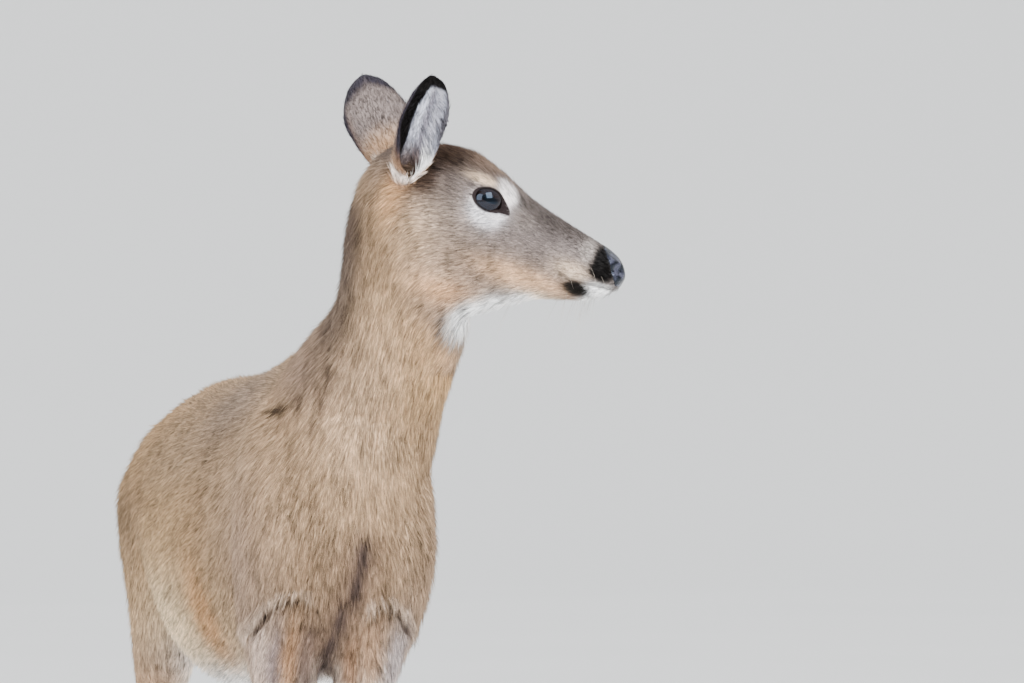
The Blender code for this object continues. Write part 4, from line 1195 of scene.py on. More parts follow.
    def cup_look(self, share: Array, place: Array) -> tuple[Array, Array]:
        """Colour and hair length inside the cup: pale hair, a black band down the rear edge, a black tip.

        Args:
            share: how far towards the tip, for each row.
            place: from the front edge, -1, to the rear edge, 1, for each column.

        Returns:
            Colours and lengths over rows and columns.
        """
        rise, side = np.meshgrid(share, place, indexing="ij")
        colours = np.ones(rise.shape + (3,)) * hair((168, 170, 181))
        edge = 0.02 - 0.22 * ease(rise, 0.62, 0.92) + 0.16 * (1 - ease(rise, 0.1, 0.35))
        for mask, colour in (
                # a paler streak in from the black band along the rear edge: a painted highlight on the cup's
                # pale hair
                (np.exp(-((side - edge + 0.2) / 0.14) ** 2) * (0.3 + 0.5 * ease(rise, 0.3, 0.5)),
                 (212, 214, 222)),
                (np.exp(-((side + 0.42) / 0.11) ** 2) * 0.7, (140, 134, 142)),
                (np.exp(-((side + 0.7) / 0.13) ** 2) * 0.6, (192, 190, 196)),
                # the cup's root darker brown, painted shade deep in the cup
                ((1 - ease(rise, 0.15, 0.34)) * 0.85, (92, 72, 58)),
                ((1 - ease(rise, 0.24, 0.36)) * ease(-side, 0.55, 0.75), (232, 230, 230)),
                (ease(-side, 0.86, 0.95) * ease(rise, 0.3, 0.5) * 0.8, (66, 58, 58)),
                (ease(side, edge - 0.04, edge + 0.04) * ease(rise, 0.12, 0.24), (24, 21, 21)),
                (ease(rise, 0.855, 0.9), (24, 21, 21)),
        ):
            colours = blended(colours, hair(colour), mask)
        short = 0.75 * ease(side, edge - 0.06, edge + 0.04)
        length = 0.006 + 0.011 * (1 - ease(rise, 0.6, 0.9)) * (1 - short)
        return colours, length


@dataclass
class Lids:
    """The rolled rim of both lids round one eye, with its tear corner."""

    eye: Eye
    around: int = 72
    # how many times the opening, height over the ball or the face, how dark
    profile: tuple[tuple[float, float, float], ...] = (
        (0.9, -0.0022, 1.0), (0.945, 0.0001, 1.0), (0.985, 0.0011, 1.0), (1.04, 0.0016, 1.0),
        (1.1, 0.0015, 0.85), (1.18, 0.0008, 0.1), (1.3, -0.0004, 0.0), (1.42, -0.0026, 0.0))

    def build(self) -> Mesh:
        """Makes the rim's mesh.

        Returns:
            The mesh, with the coat's fields stored on it.
        """
        angle = np.linspace(0, 2 * np.pi, self.around, endpoint=False)
        eye, rings, dark = self.eye, [], []
        for scale, height, darkness in self.profile:
            along, rise = eye.opening(angle, scale)
            out = eye.depth(along, rise) + height
            local = np.column_stack((along, rise, out))
            rings.append(eye.middle + local @ eye.axes)
            dark.append(np.full(self.around, darkness))
        rings, dark = np.array(rings), np.array(dark)
        mesh = mesh_from(f"lids_{eye.word}", rings.reshape(-1, 3),
                         grid_faces(len(self.profile), self.around, closed=True))
        with opened(mesh) as shell:
            first = shell.faces[:][len(self.profile) * self.around // 2]
            first.normal_update()
            if first.normal.dot(Vector(eye.axes[2].tolist())) < 0:
                bmesh.ops.reverse_faces(shell, faces=shell.faces)
        dark = dark.reshape(-1)
        count = len(mesh.vertices)
        places = eye.head.even(rings.reshape(-1, 3))
        face = laid_over(np.ones((count, 1)) * hair(HEAD_BASE), places, HEAD_MARKS, colours=True)
        colours = blended(face, linear((20, 15, 16)), dark)
        growth = np.where(dark < 0.3, 1.0, 0.0)
        lie = np.tile(eye.head.turned((-0.9, 0.0, -0.15)), (count, 1))
        dress_ground(mesh, colours, np.full(count, 0.0045), growth, lie, Region.FACE,
                     np.zeros((count, 3)))
        return mesh


# ---- finishes ----
class Wiring:
    """Short-hand for a tree of nodes: makes a node, sets its options and links or fills its inputs."""

    def __init__(self, tree: bpy.types.NodeTree) -> None:
        """Starts on a tree."""
        self.tree = tree

    def node(self, kind: str, inputs: dict | None = None, **options: object) -> bpy.types.Node:
        """Adds a node.

        Args:
            kind: the node's type.
            inputs: values or output sockets, by the input's name or number.
            options: the node's own settings.

        Returns:
            The node.
        """
        made = self.tree.nodes.new(kind)
        for name, value in options.items():
            setattr(made, name, value)
        self.fill(made, inputs or {})
        return made

    def fill(self, node: bpy.types.Node, inputs: dict) -> None:
        """Sets a node's inputs.

        Args:
            node: the node.
            inputs: values or output sockets, by the input's name or number.
        """
        for key, value in inputs.items():
            if isinstance(value, Socket):
                self.tree.links.new(value, node.inputs[key])
            else:
                node.inputs[key].default_value = value

    def maths(self, operation: str, *values: object) -> Socket:
        """A sum of numbers, such as MULTIPLY or ADD, as the socket that carries it."""
        return self.node("ShaderNodeMath", dict(enumerate(values)), operation=operation).outputs[0]

    def scaled(self, vector: object, factor: object) -> Socket:
        """A vector or a colour times a number."""
        return self.node("ShaderNodeVectorMath", {0: vector, 3: factor}, operation="SCALE").outputs[0]

    def noise(self, place: Socket, scale: float, detail: float) -> Socket:
        """A cloudy pattern, from 0 to 1."""
        return self.node("ShaderNodeTexNoise", {"Vector": place, "Scale": scale, "Detail": detail}).outputs[0]

    def ramp(self, share: object, stops: Sequence[tuple[float, Sequence[float]]]) -> Socket:
        """A colour for each number.

        Args:
            share: the number.
            stops: rising numbers, each with its linear colour.

        Returns:
            The colour between the stops.
        """
        made = self.node("ShaderNodeValToRGB", {0: share})
        elements = made.color_ramp.elements
        elements[0].position, elements[-1].position = stops[0][0], stops[-1][0]
        for place, _ in stops[1:-1]:
            elements.new(place)
        for element, (_, colour) in zip(elements, stops):
            element.color = (*colour, 1.0)
        return made.outputs[0]

    def here(self) -> Socket:
        """The surface's own place, for a material."""
        return self.node("ShaderNodeTexCoord").outputs["Object"]

    def ranged(self, value: object, low: float, high: float, to_low: float,
               to_high: float) -> Socket:
        """A number carried smoothly from one range to another."""
        return self.node("ShaderNodeMapRange", {0: value, 1: low, 2: high, 3: to_low, 4: to_high},
                         interpolation_type="SMOOTHSTEP").outputs[0]

    def attribute(self, name: str, output: str) -> Socket:
        """A named attribute of the surface, for a material."""
        return self.node("ShaderNodeAttribute", attribute_name=name).outputs[output]


def new_material(name: str) -> tuple[Material, Wiring, bpy.types.Node]:
    """An empty node material with its main shader in place.

    Args:
        name: the material's name.

    Returns:
        The material, its wiring and the shader.
    """
    material = bpy.data.materials.new(name)
    material.use_nodes = True
    material.node_tree.nodes.clear()
    wiring = Wiring(material.node_tree)
    shader = wiring.node("ShaderNodeBsdfPrincipled")
    wiring.node("ShaderNodeOutputMaterial", {"Surface": shader.outputs[0]})
    return material, wiring, shader


@dataclass(frozen=True)
class CoatFinish:
    """Deer hair: darker at the root, partly the grey base of each hair and partly painted shade deep in the
    coat, banded towards the tip, each strand a little different.
    """

    name: str = "deer_coat"
    roughness: float = 0.75
    specular: float = 0.05
    strand_change: float = 0.45
    tuft_change: float = 0.38
    tip_darkness: float = 0.62
    streak_scale: float = 75.0
    streak_run: tuple[float, float, float] = (1.0, 1.0, 0.3)
    cloud_scale: float = 13.0
    # along a strand from its root: how far, and how light; the dark root is partly the hair's own grey base,
    # partly painted shade among the strands
    bands_and_root_shade: tuple[tuple[float, float], ...] = ((0.0, 0.46), (0.35, 1.0), (0.72, 1.1), (1.0, 1.0))

    def build(self) -> Material:
        """Makes the material."""
        material, w, shader = new_material(self.name)
        colour = w.attribute("coat_colour", "Color")
        along = w.attribute("along", "Fac")
        strand = w.attribute("strand", "Fac")
        tuft = w.attribute("tuft", "Fac")
        green = w.node("ShaderNodeSeparateColor", {0: colour}).outputs[1]
        place = w.here()
        run = w.node("ShaderNodeMapping", {"Vector": place, "Scale": self.streak_run}).outputs[0]
        streak = w.noise(run, self.streak_scale, 3.0)
        cloud = w.noise(place, self.cloud_scale, 2.0)
        tone = w.maths("MULTIPLY_ADD", strand, self.strand_change, 1.0)
        tone = w.maths("MULTIPLY_ADD", tuft, self.tuft_change, tone)
        tone = w.maths("ADD", tone, w.ranged(streak, 0.3, 0.7, -0.2, 0.2))
        tone = w.maths("ADD", tone, w.ranged(cloud, 0.3, 0.7, -0.09, 0.09))
        # how light each stretch of a strand is: the dark root is partly its grey base, partly painted shade
        # deep in the coat
        band = w.ramp(along, [(share, (shade,) * 3) for share, shade in self.bands_and_root_shade])
        tipped = w.maths("MULTIPLY", w.ranged(strand, 0.15, 0.6, 0.0, 1.0),
                         w.ranged(along, 0.35, 0.85, 0.0, 1.0))
        tipped = w.maths("MULTIPLY", tipped, w.ranged(green, 0.38, 0.66, self.tip_darkness, 0.0))
        tone = w.maths("MULTIPLY", tone, w.maths("SUBTRACT", 1.0, tipped))
        # pale hair keeps less of that dark root and its painted shade, lifted by up to 0.8
        pale = w.ranged(green, 0.45, 0.85, 0.0, 0.8)
        band = w.maths("MULTIPLY_ADD", w.maths("SUBTRACT", 1.0, band), pale, band)
        shaded = w.scaled(colour, w.maths("MULTIPLY", band, tone))
        w.fill(shader, {"Base Color": shaded, "Roughness": self.roughness,
                        "Specular IOR Level": self.specular})
        return material


@dataclass(frozen=True)
class HideFinish:
    """The skin between the strands, and the bare rims of lids and lips, all darker than the coat's colour as
    painted shade among the strands.
    """

    name: str = "deer_hide"
    roughness: float = 0.7
    grain_scale: float = 900.0
    grain_height: float = 0.0004

    def build(self) -> Material:
        """Makes the material."""
        material, w, shader = new_material(self.name)
        place = w.here()
        grain = w.noise(place, self.grain_scale, 3.0)
        # painted shade: the hide takes 0.62 to 0.95 of the coat's colour, darker overall for the shade among
        # the strands and varied by its grain
        shade = w.ranged(grain, 0.3, 0.7, 0.62, 0.95)
        colour = w.scaled(w.attribute("coat_colour", "Color"), shade)
        bump = w.node("ShaderNodeBump", {"Height": grain, "Distance": self.grain_height, "Strength": 0.8})
        w.fill(shader, {"Base Color": colour, "Normal": bump.outputs[0], "Roughness": self.roughness,
                        "Specular IOR Level": 0.1})
        return material


@dataclass(frozen=True)
class NoseFinish:
    """The bare nose: black, damp, with a cobbled grain, painted shade in the grooves between the cobbles and
    painted sheen in lighter bluish patches.
    """

    name: str = "nose_leather"
    cobble_scale: float = 620.0
    damp_sheen_scale: float = 110.0        # of the dull and the shining patches; the shine is painted sheen, a lighter bluish base colour
    cobble_height: float = 0.0005
    roughness: float = 0.19

    def build(self) -> Material:
        """Makes the material."""
        material, w, shader = new_material(self.name)
        place = w.here()
        cell = w.node("ShaderNodeTexVoronoi", {"Vector": place, "Scale": self.cobble_scale}).outputs[0]
        # patches of the wet nose: where this noise is high the colour is painted lighter as sheen
        damp = w.noise(place, self.damp_sheen_scale, 2.0)
        # painted shade and sheen: each cobble darker towards its edge, into the grooves, and the black base
        # taken from 0.4 to 9 times, its light patches painted sheen
        shade = w.maths("MULTIPLY", w.ranged(cell, 0.0, 0.7, 1.0, 0.5), w.ranged(damp, 0.42, 0.64, 0.4, 9.0))
        colour = w.scaled(tuple(linear((17, 17, 23))), shade)
        bump = w.node("ShaderNodeBump", {"Height": cell, "Distance": self.cobble_height, "Strength": 0.6},
                      invert=True)
        w.fill(shader, {"Base Color": colour, "Normal": bump.outputs[0], "Roughness": self.roughness,
                        "Specular IOR Level": 0.22, "Specular Tint": (0.62, 0.76, 1.0, 1.0)})
        return material


@dataclass(frozen=True)
class EyeFinish:
    """A wet dark eye: level pupil, brown iris, darker rim."""

    name: str = "wet_eye"
    pupil: tuple[float, float] = (0.5, 0.2)
    iris_radius: float = 0.74

    def build(self) -> Material:
        """Makes the material."""
        material, w, shader = new_material(self.name)
        gaze = w.node("ShaderNodeSeparateXYZ", {0: w.attribute("gaze", "Vector")})
        x, y = gaze.outputs[0], gaze.outputs[1]
        across = w.maths("DIVIDE", x, self.pupil[0])
        rise = w.maths("DIVIDE", y, self.pupil[1])
        oval = w.maths("SQRT", w.maths("ADD", w.maths("POWER", w.maths("ABSOLUTE", across), 2.6),
                                       w.maths("POWER", w.maths("ABSOLUTE", rise), 2.0)))
        round_off = w.maths("SQRT", w.maths("ADD", w.maths("MULTIPLY", x, x), w.maths("MULTIPLY", y, y)))
        angle = w.maths("ARCTAN2", y, x)
        rays = w.node("ShaderNodeTexNoise", {"Vector": w.node("ShaderNodeCombineXYZ", {
            0: w.maths("MULTIPLY", angle, 9.0), 1: w.maths("MULTIPLY", round_off, 2.0)}).outputs[0],
            "Scale": 1.6, "Detail": 3.0}).outputs[0]
        iris = w.ramp(rays, ((0.3, linear((12, 9, 9))), (0.7, linear((26, 18, 16)))))
        rim = w.ranged(round_off, self.iris_radius - 0.1, self.iris_radius + 0.03, 1.0, 0.12)
        hole = w.ranged(oval, 0.86, 1.06, 0.03, 1.0)
        colour = w.scaled(iris, w.maths("MULTIPLY", rim, hole))
        w.fill(shader, {"Base Color": colour, "Roughness": 0.05, "Specular IOR Level": 0.24,
                        "Specular Tint": (0.5, 0.7, 1.0, 1.0)})
        return material


@dataclass(frozen=True)
class HornFinish:
    """Hoof horn: dark, with fine growth lines."""

    name: str = "hoof_horn"
    roughness: float = 0.42
    line_scale: float = 210.0

    def build(self) -> Material:
        """Makes the material."""
        material, w, shader = new_material(self.name)
        place = w.here()
        stretched = w.node("ShaderNodeMapping", {"Vector": place, "Scale": (0.25, 0.25, 1.6)}).outputs[0]
        lines = w.noise(stretched, self.line_scale, 4.0)
        colour = w.ramp(lines, ((0.35, linear((36, 31, 29))), (0.72, linear((84, 72, 62)))))
        bump = w.node("ShaderNodeBump", {"Height": lines, "Distance": 0.0004, "Strength": 0.7})
        w.fill(shader, {"Base Color": colour, "Normal": bump.outputs[0], "Roughness": self.roughness})
        return material


@dataclass(frozen=True)
class WhiskerFinish:
    """Long stiff pale hairs."""

    name: str = "whisker"

    def build(self) -> Material:
        """Makes the material."""
        material, w, shader = new_material(self.name)
        shade = w.ranged(w.attribute("along", "Fac"), 0.0, 1.0, 0.35, 1.0)
        colour = w.scaled(tuple(linear((186, 176, 164))), shade)
        w.fill(shader, {"Base Color": colour, "Roughness": 0.45})
        return material


@dataclass(frozen=True)
class StudioFinish:
    """Plain pale floor and backdrop."""

    name: str = "studio_floor"

    def build(self) -> Material:
        """Makes the material."""
        material, w, shader = new_material(self.name)
        place = w.here()
        cloud = w.noise(place, 0.6, 1.0)
        colour = w.scaled((0.8, 0.8, 0.79), w.ranged(cloud, 0.3, 0.7, 0.985, 1.0))
        w.fill(shader, {"Base Color": colour, "Roughness": 0.9, "Specular IOR Level": 0.1})
        return material


# ---- the coat ----
BAKE_PATCH = 0.003                   # a tuft's size on the OFBake map
TUFT_KINDS = 5
STRANDS = 4
STRAND_TRIANGLES = 3
STRAND_WIDTH = 0.037                 # of a strand's length, at its root
HELPER_FIELDS = ("lie", "growth", "bare", "region", "root_place", "patch", "unwrap", "strand_length", "id")


@dataclass
class Tufts:
    """The few shapes of tuft that the coat repeats: strands of unit length, splayed at the root."""

    seed: int = 11
    splay: float = 1.7               # half the tuft's width, in strand widths
    thickness: float = 0.45
    collection: bpy.types.Collection = field(init=False)

    def build(self) -> None:
        """Makes the shapes in a collection of their own."""
        self.collection = bpy.data.collections.new("tuft_shapes")
        chance = np.random.default_rng(self.seed)
        for kind in range(TUFT_KINDS):
            points, faces, along, strand, patch = [], [], [], [], []
            for number in range(STRANDS):
                middle = (number - (STRANDS - 1) / 2) / ((STRANDS - 1) / 2) * self.splay
                middle += chance.uniform(-0.35, 0.35)
                start = chance.uniform(-0.22, 0.12)
                length = chance.uniform(0.8, 1.1)
                half = chance.uniform(0.42, 0.6)
                lift = chance.uniform(-0.2, 0.3)
                tip = (middle * 0.55 + chance.uniform(-0.8, 0.8), chance.uniform(-0.4, 1.6), start + length)
                first = len(points)
                points += [(middle - half, lift, start), (middle + half, lift, start),
                           (middle, lift + self.thickness, start), tip]
                faces += [(first, first + 1, first + 3), (first + 1, first + 2, first + 3),
                          (first + 2, first, first + 3)]
                along += [0.0, 0.0, 0.0, 1.0]
                strand += [chance.uniform(-1, 1)] * 4
                patch += [(p[0] / (2 * self.splay + 2), p[2] - 0.5, 0.0) for p in points[first:]]
            mesh = mesh_from(f"tuft_{kind}", points, faces)
            store(mesh, "along", along)
            store(mesh, "strand", strand)
            store(mesh, "patch", patch)
            self.collection.objects.link(bpy.data.objects.new(f"tuft_{kind}", mesh))

    def remove(self) -> None:
        """Deletes the shapes once the coat is made."""
        for shape in list(self.collection.objects):
            mesh = shape.data
            bpy.data.objects.remove(shape)
            bpy.data.meshes.remove(mesh)
        bpy.data.collections.remove(self.collection)


@dataclass(frozen=True)
class CoatPiece:
    """One part of the coat: where it grows, how many tufts it has and how loosely they lie."""

    name: str
    region: int
    tufts: int
    seed: int
    lift: float = 0.17               # slope of the hair off the skin
    wander: float = 0.2             # how far each tuft strays from the lie
    width: float = 1.0
    slot: str = "coat"


COAT_PIECES = (
    CoatPiece("coat_face", Region.FACE, 13500, 21, 0.2, 0.2, 1.15),
    CoatPiece("coat_cheeks", Region.CHEEKS, 15800, 22, 0.18, 0.17, 1.0),
    CoatPiece("coat_neck", Region.NECK, 16000, 23, 0.17, 0.16, 1.0),
    CoatPiece("coat_shoulder_right", Region.SHOULDER_RIGHT, 15800, 24),
    CoatPiece("coat_shoulder_left", Region.SHOULDER_LEFT, 12800, 25),
    CoatPiece("coat_haunch_right", Region.HAUNCH_RIGHT, 13500, 26),
    CoatPiece("coat_haunch_left", Region.HAUNCH_LEFT, 12300, 27),
    CoatPiece("coat_forelegs", Region.FORELEGS, 7000, 28, 0.15, 0.14),
    CoatPiece("coat_hind_legs", Region.HIND_LEGS, 10000, 29, 0.15, 0.14),
    CoatPiece("coat_tail", Region.TAIL, 1600, 30, 0.2, 0.2, 1.2, "tail_hair"),
    CoatPiece("coat_ear_right", Region.EAR_RIGHT, 3300, 31, 0.2, 0.25, 1.3, "ear_hair"),
    CoatPiece("coat_ear_left", Region.EAR_LEFT, 3000, 32, 0.2, 0.25, 1.3, "ear_hair"),
)


@dataclass
class Coat:
    """All the hair: tufts spread over the skin by Geometry Nodes, one piece for each region."""

    ground: Object
    head: HeadAxes
    body: BodyAxes
    tufts: bpy.types.Collection
    material: Material
    tree: bpy.types.NodeTree = field(init=False)
    sockets: dict[str, str] = field(init=False, default_factory=dict)

    def build_tree(self) -> None:
        """Builds the tree that grows tufts on the ground, with its sizes as named inputs."""
        self.tree = bpy.data.node_groups.new("grow_coat", "GeometryNodeTree")
        face = self.tree.interface
        face.new_socket("Ground", in_out="INPUT", socket_type="NodeSocketGeometry")
        for name, kind in (("Region", "Int"), ("Tufts per area", "Float"), ("Seed", "Int"), ("Lift", "Float"),
                           ("Wander", "Float"), ("Strand width", "Float"), ("Shapes", "Collection"),
                           ("Finish", "Material")):
            socket = face.new_socket(name, in_out="INPUT", socket_type=f"NodeSocket{kind}")
            self.sockets[name] = socket.identifier
        face.new_socket("Coat", in_out="OUTPUT", socket_type="NodeSocketGeometry")
        w = Wiring(self.tree)
        given = w.node("NodeGroupInput").outputs

        def named(name: str, kind: str) -> Socket:
            """A field kept on the ground."""
            field_node = w.node("GeometryNodeInputNamedAttribute", {"Name": name}, data_type=kind)
            return field_node.outputs["Attribute"]

        def drawn(low: float, high: float, offset: int) -> Socket:
            """A random number for each tuft."""
            inputs = {2: low, 3: high, "Seed": w.maths("ADD", given["Seed"], float(offset))}
            return w.node("FunctionNodeRandomValue", inputs, data_type="FLOAT").outputs[1]

        here = w.node("FunctionNodeCompare", {2: named("region", "INT"), 3: given["Region"]},
                      data_type="INT", operation="EQUAL").outputs[0]
        amount = w.maths("MULTIPLY", given["Tufts per area"], named("growth", "FLOAT"))
        spread = w.node("GeometryNodeDistributePointsOnFaces", {
            "Mesh": given["Ground"], "Selection": here, "Density": amount, "Seed": given["Seed"]})
        stray = w.node("FunctionNodeRandomValue", {0: (-1, -1, -1), 1: (1, 1, 1), "Seed": given["Seed"]},
                       data_type="FLOAT_VECTOR").outputs[0]
        normal = w.node("GeometryNodeCaptureAttribute", {"Geometry": spread.outputs["Points"]})
        normal.capture_items.new("VECTOR", "Up")
        w.tree.links.new(spread.outputs["Normal"], normal.inputs["Up"])
        outward = normal.outputs["Up"]
        lie = named("lie", "FLOAT_VECTOR")
        lifted = w.scaled(outward, given["Lift"])
        strayed = w.scaled(stray, given["Wander"])
        way = w.node("ShaderNodeVectorMath", {0: lie, 1: lifted}, operation="ADD").outputs[0]
        way = w.node("ShaderNodeVectorMath", {0: way, 1: strayed}, operation="ADD").outputs[0]
        turn = w.node("FunctionNodeAxesToRotation", {"Primary Axis": way, "Secondary Axis": outward},
                      primary_axis="Z", secondary_axis="Y").outputs[0]
        length = w.maths("MULTIPLY", named("strand_length", "FLOAT"), drawn(0.82, 1.15, 1))
        breadth = w.maths("MULTIPLY", w.maths("MULTIPLY", length, STRAND_WIDTH), given["Strand width"])
        size = w.node("ShaderNodeCombineXYZ", {0: breadth, 1: breadth, 2: length}).outputs[0]
        shapes = w.node("GeometryNodeCollectionInfo", {
            "Collection": given["Shapes"], "Separate Children": True, "Reset Children": True})
        kind = w.node("FunctionNodeRandomValue", {4: 0, 5: TUFT_KINDS - 1, "Seed": given["Seed"]},
                      data_type="INT").outputs[2]
        kept = w.node("GeometryNodeStoreNamedAttribute", {
            "Geometry": normal.outputs["Geometry"], "Name": "root_place",
            "Value": w.node("GeometryNodeInputPosition").outputs[0]}, data_type="FLOAT_VECTOR")
        toned = w.node("GeometryNodeStoreNamedAttribute", {
            "Geometry": kept.outputs[0], "Name": "tuft", "Value": drawn(-1.0, 1.0, 2)}, data_type="FLOAT")
        grown = w.node("GeometryNodeInstanceOnPoints", {
            "Points": toned.outputs[0], "Instance": shapes.outputs[0], "Pick Instance": True,
            "Instance Index": kind, "Rotation": turn, "Scale": size})
        solid = w.node("GeometryNodeRealizeInstances", {"Geometry": grown.outputs[0]})
        dressed = w.node("GeometryNodeSetMaterial", {
            "Geometry": solid.outputs[0], "Material": given["Finish"]})
        w.node("NodeGroupOutput", {"Coat": dressed.outputs[0]})

    def grow(self, piece: CoatPiece) -> Object:
        """Grows one piece of the coat.

        Args:
            piece: where it grows and how.

        Returns:
            The piece, as a plain mesh.
        """
        mesh = self.ground.data
        area = np.array([p.area for p in mesh.polygons])
        region = read(mesh.attributes["region"].data, "value", kind=np.int32)
        growth = read(mesh.attributes["growth"].data, "value")
        firsts = np.array([p.vertices[0] for p in mesh.polygons])
        grown_area = float((area * growth[firsts])[region == piece.region].sum())

        helper = add_object(piece.name + "_ground", mesh)
        grower = helper.modifiers.new("coat", "NODES")
        grower.node_group = self.tree
        for name, value in (("Region", piece.region), ("Tufts per area", piece.tufts / grown_area),
                            ("Seed", piece.seed), ("Lift", piece.lift), ("Wander", piece.wander),
                            ("Strand width", piece.width), ("Shapes", self.tufts), ("Finish", self.material)):
            grower[self.sockets[name]] = value
        made = evaluated(helper, piece.name)
        helper.modifiers.clear()
        bpy.data.objects.remove(helper)
        self.unwrap(made, piece)
        for name in HELPER_FIELDS:
            if name in made.attributes:
                made.attributes.remove(made.attributes[name])
        coat = add_object(piece.name, made)
        LOG.info("%s: %d tufts, %d triangles", piece.name, len(made.polygons) // (STRANDS * STRAND_TRIANGLES),
                 len(made.polygons))
        return coat

    def unwrap(self, mesh: Mesh, piece: CoatPiece) -> None:
        """Gives the piece its OFBake map: each tuft is a patch at its root's place on the flat skin.

        Args:
            mesh: the coat's mesh.
            piece: which part it is.
        """
        source = "unwrap" if piece.slot == "ear_hair" else "root_place"
        root, patch = (read(mesh.attributes[name].data, "vector", 3) for name in (source, "patch"))
        flat = root[:, :2] if source == "unwrap" else self.laid_flat(root.astype(float), piece.region)
        low, high = flat.min(axis=0), flat.max(axis=0)
        flat = 0.01 + 0.98 * (flat - low) / (high - low)
        flat = flat + BAKE_PATCH * np.clip(patch[:, :2], -0.5, 0.5)
        corners = read(mesh.loops, "vertex_index", kind=np.int32)
        layer = mesh.uv_layers.new(name="OFBake")
        layer.data.foreach_set("uv", flat[corners].astype(np.float32).ravel())

    def laid_flat(self, places: Array, region: int) -> Array:
        """The skin of a region unrolled: round its own axis one way, along it the other.

        Args:
            places: places in the row frame.
            region: the part of the coat that they are on.

        Returns:
            Two numbers for each place.
        """
        if region in (Region.FACE, Region.CHEEKS):
            local = self.head.local(places)
            return np.column_stack((np.arctan2(local[:, 1], local[:, 2] + 0.045), local[:, 0]))
        if region == Region.NECK:
            low, high = np.array((-0.075, -0.27, 0.69)), np.array((-0.01, -0.385, 0.88))
            places = self.body.settled(places)
            axis = unit(high - low)
            side = unit(np.cross(axis, (0.0, 1.0, 0.0)))
            front = np.cross(side, axis)
            offset = places - low
            return np.column_stack((np.arctan2(offset @ side, -(offset @ front)), offset @ axis))
        local = self.body.local(places)
        if region in (Region.FORELEGS, Region.HIND_LEGS):
            side = np.where(local[:, 0] > 0, 1.0, -1.0)
            fore = region == Region.FORELEGS
            middle_y = (-0.265 if fore else 0.395) * np.ones(len(local))
            round_leg = np.arctan2(local[:, 0] - side * 0.062, local[:, 1] - middle_y)
            return np.column_stack((round_leg / (2.1 * np.pi) + side, local[:, 2]))
        if region == Region.TAIL:
            return np.column_stack((np.arctan2(local[:, 0], local[:, 1] - 0.492), local[:, 2]))
        return np.column_stack((np.arctan2(np.abs(local[:, 0]), local[:, 2] - 0.6), local[:, 1]))


# ---- eyes, whiskers, hooves ----
@dataclass
class EyeBall:
    """A wet ball with a swell over the iris."""

    eye: Eye
    rings: int = 40
    around: int = 56
    swell: float = 0.02             # of the radius

    def build(self) -> Object:
        """Makes the ball, with its pole looking outwards."""
        radius = self.eye.radius
        polar = np.linspace(0, np.pi, self.rings + 1)[1:-1]
        turn = np.linspace(0, 2 * np.pi, self.around, endpoint=False)
        p, t = np.meshgrid(polar, turn, indexing="ij")
        local = np.dstack((np.sin(p) * np.cos(t), np.sin(p) * np.sin(t), np.cos(p))).reshape(-1, 3)
        local = np.vstack((local, (0, 0, 1), (0, 0, -1)))
        bulge = 1.0 - self.swell + self.swell * ease(local[:, 2], 0.35, 0.95)
        faces = [f[::-1] for f in grid_faces(len(polar), self.around, closed=True)]
        first, last = len(local) - 2, len(local) - 1
        start = (len(polar) - 1) * self.around
        faces += [(first, i, (i + 1) % self.around) for i in range(self.around)]
        faces += [(last, start + (i + 1) % self.around, start + i) for i in range(self.around)]
        points = self.eye.middle + (local * (bulge * radius)[:, None]) @ self.eye.axes
        mesh = mesh_from(f"eyeball_{self.eye.word}", points, faces)
        face_outwards(mesh)
        store(mesh, "gaze", local)
        return add_object(f"eyeball_{self.eye.word}", mesh)


@dataclass(frozen=True)
class Whisker:
    """One long hair: its root on the face, the way it sets off, and its length."""

    root: Place
    towards: Place
    length: float
    droop: float = 0.3


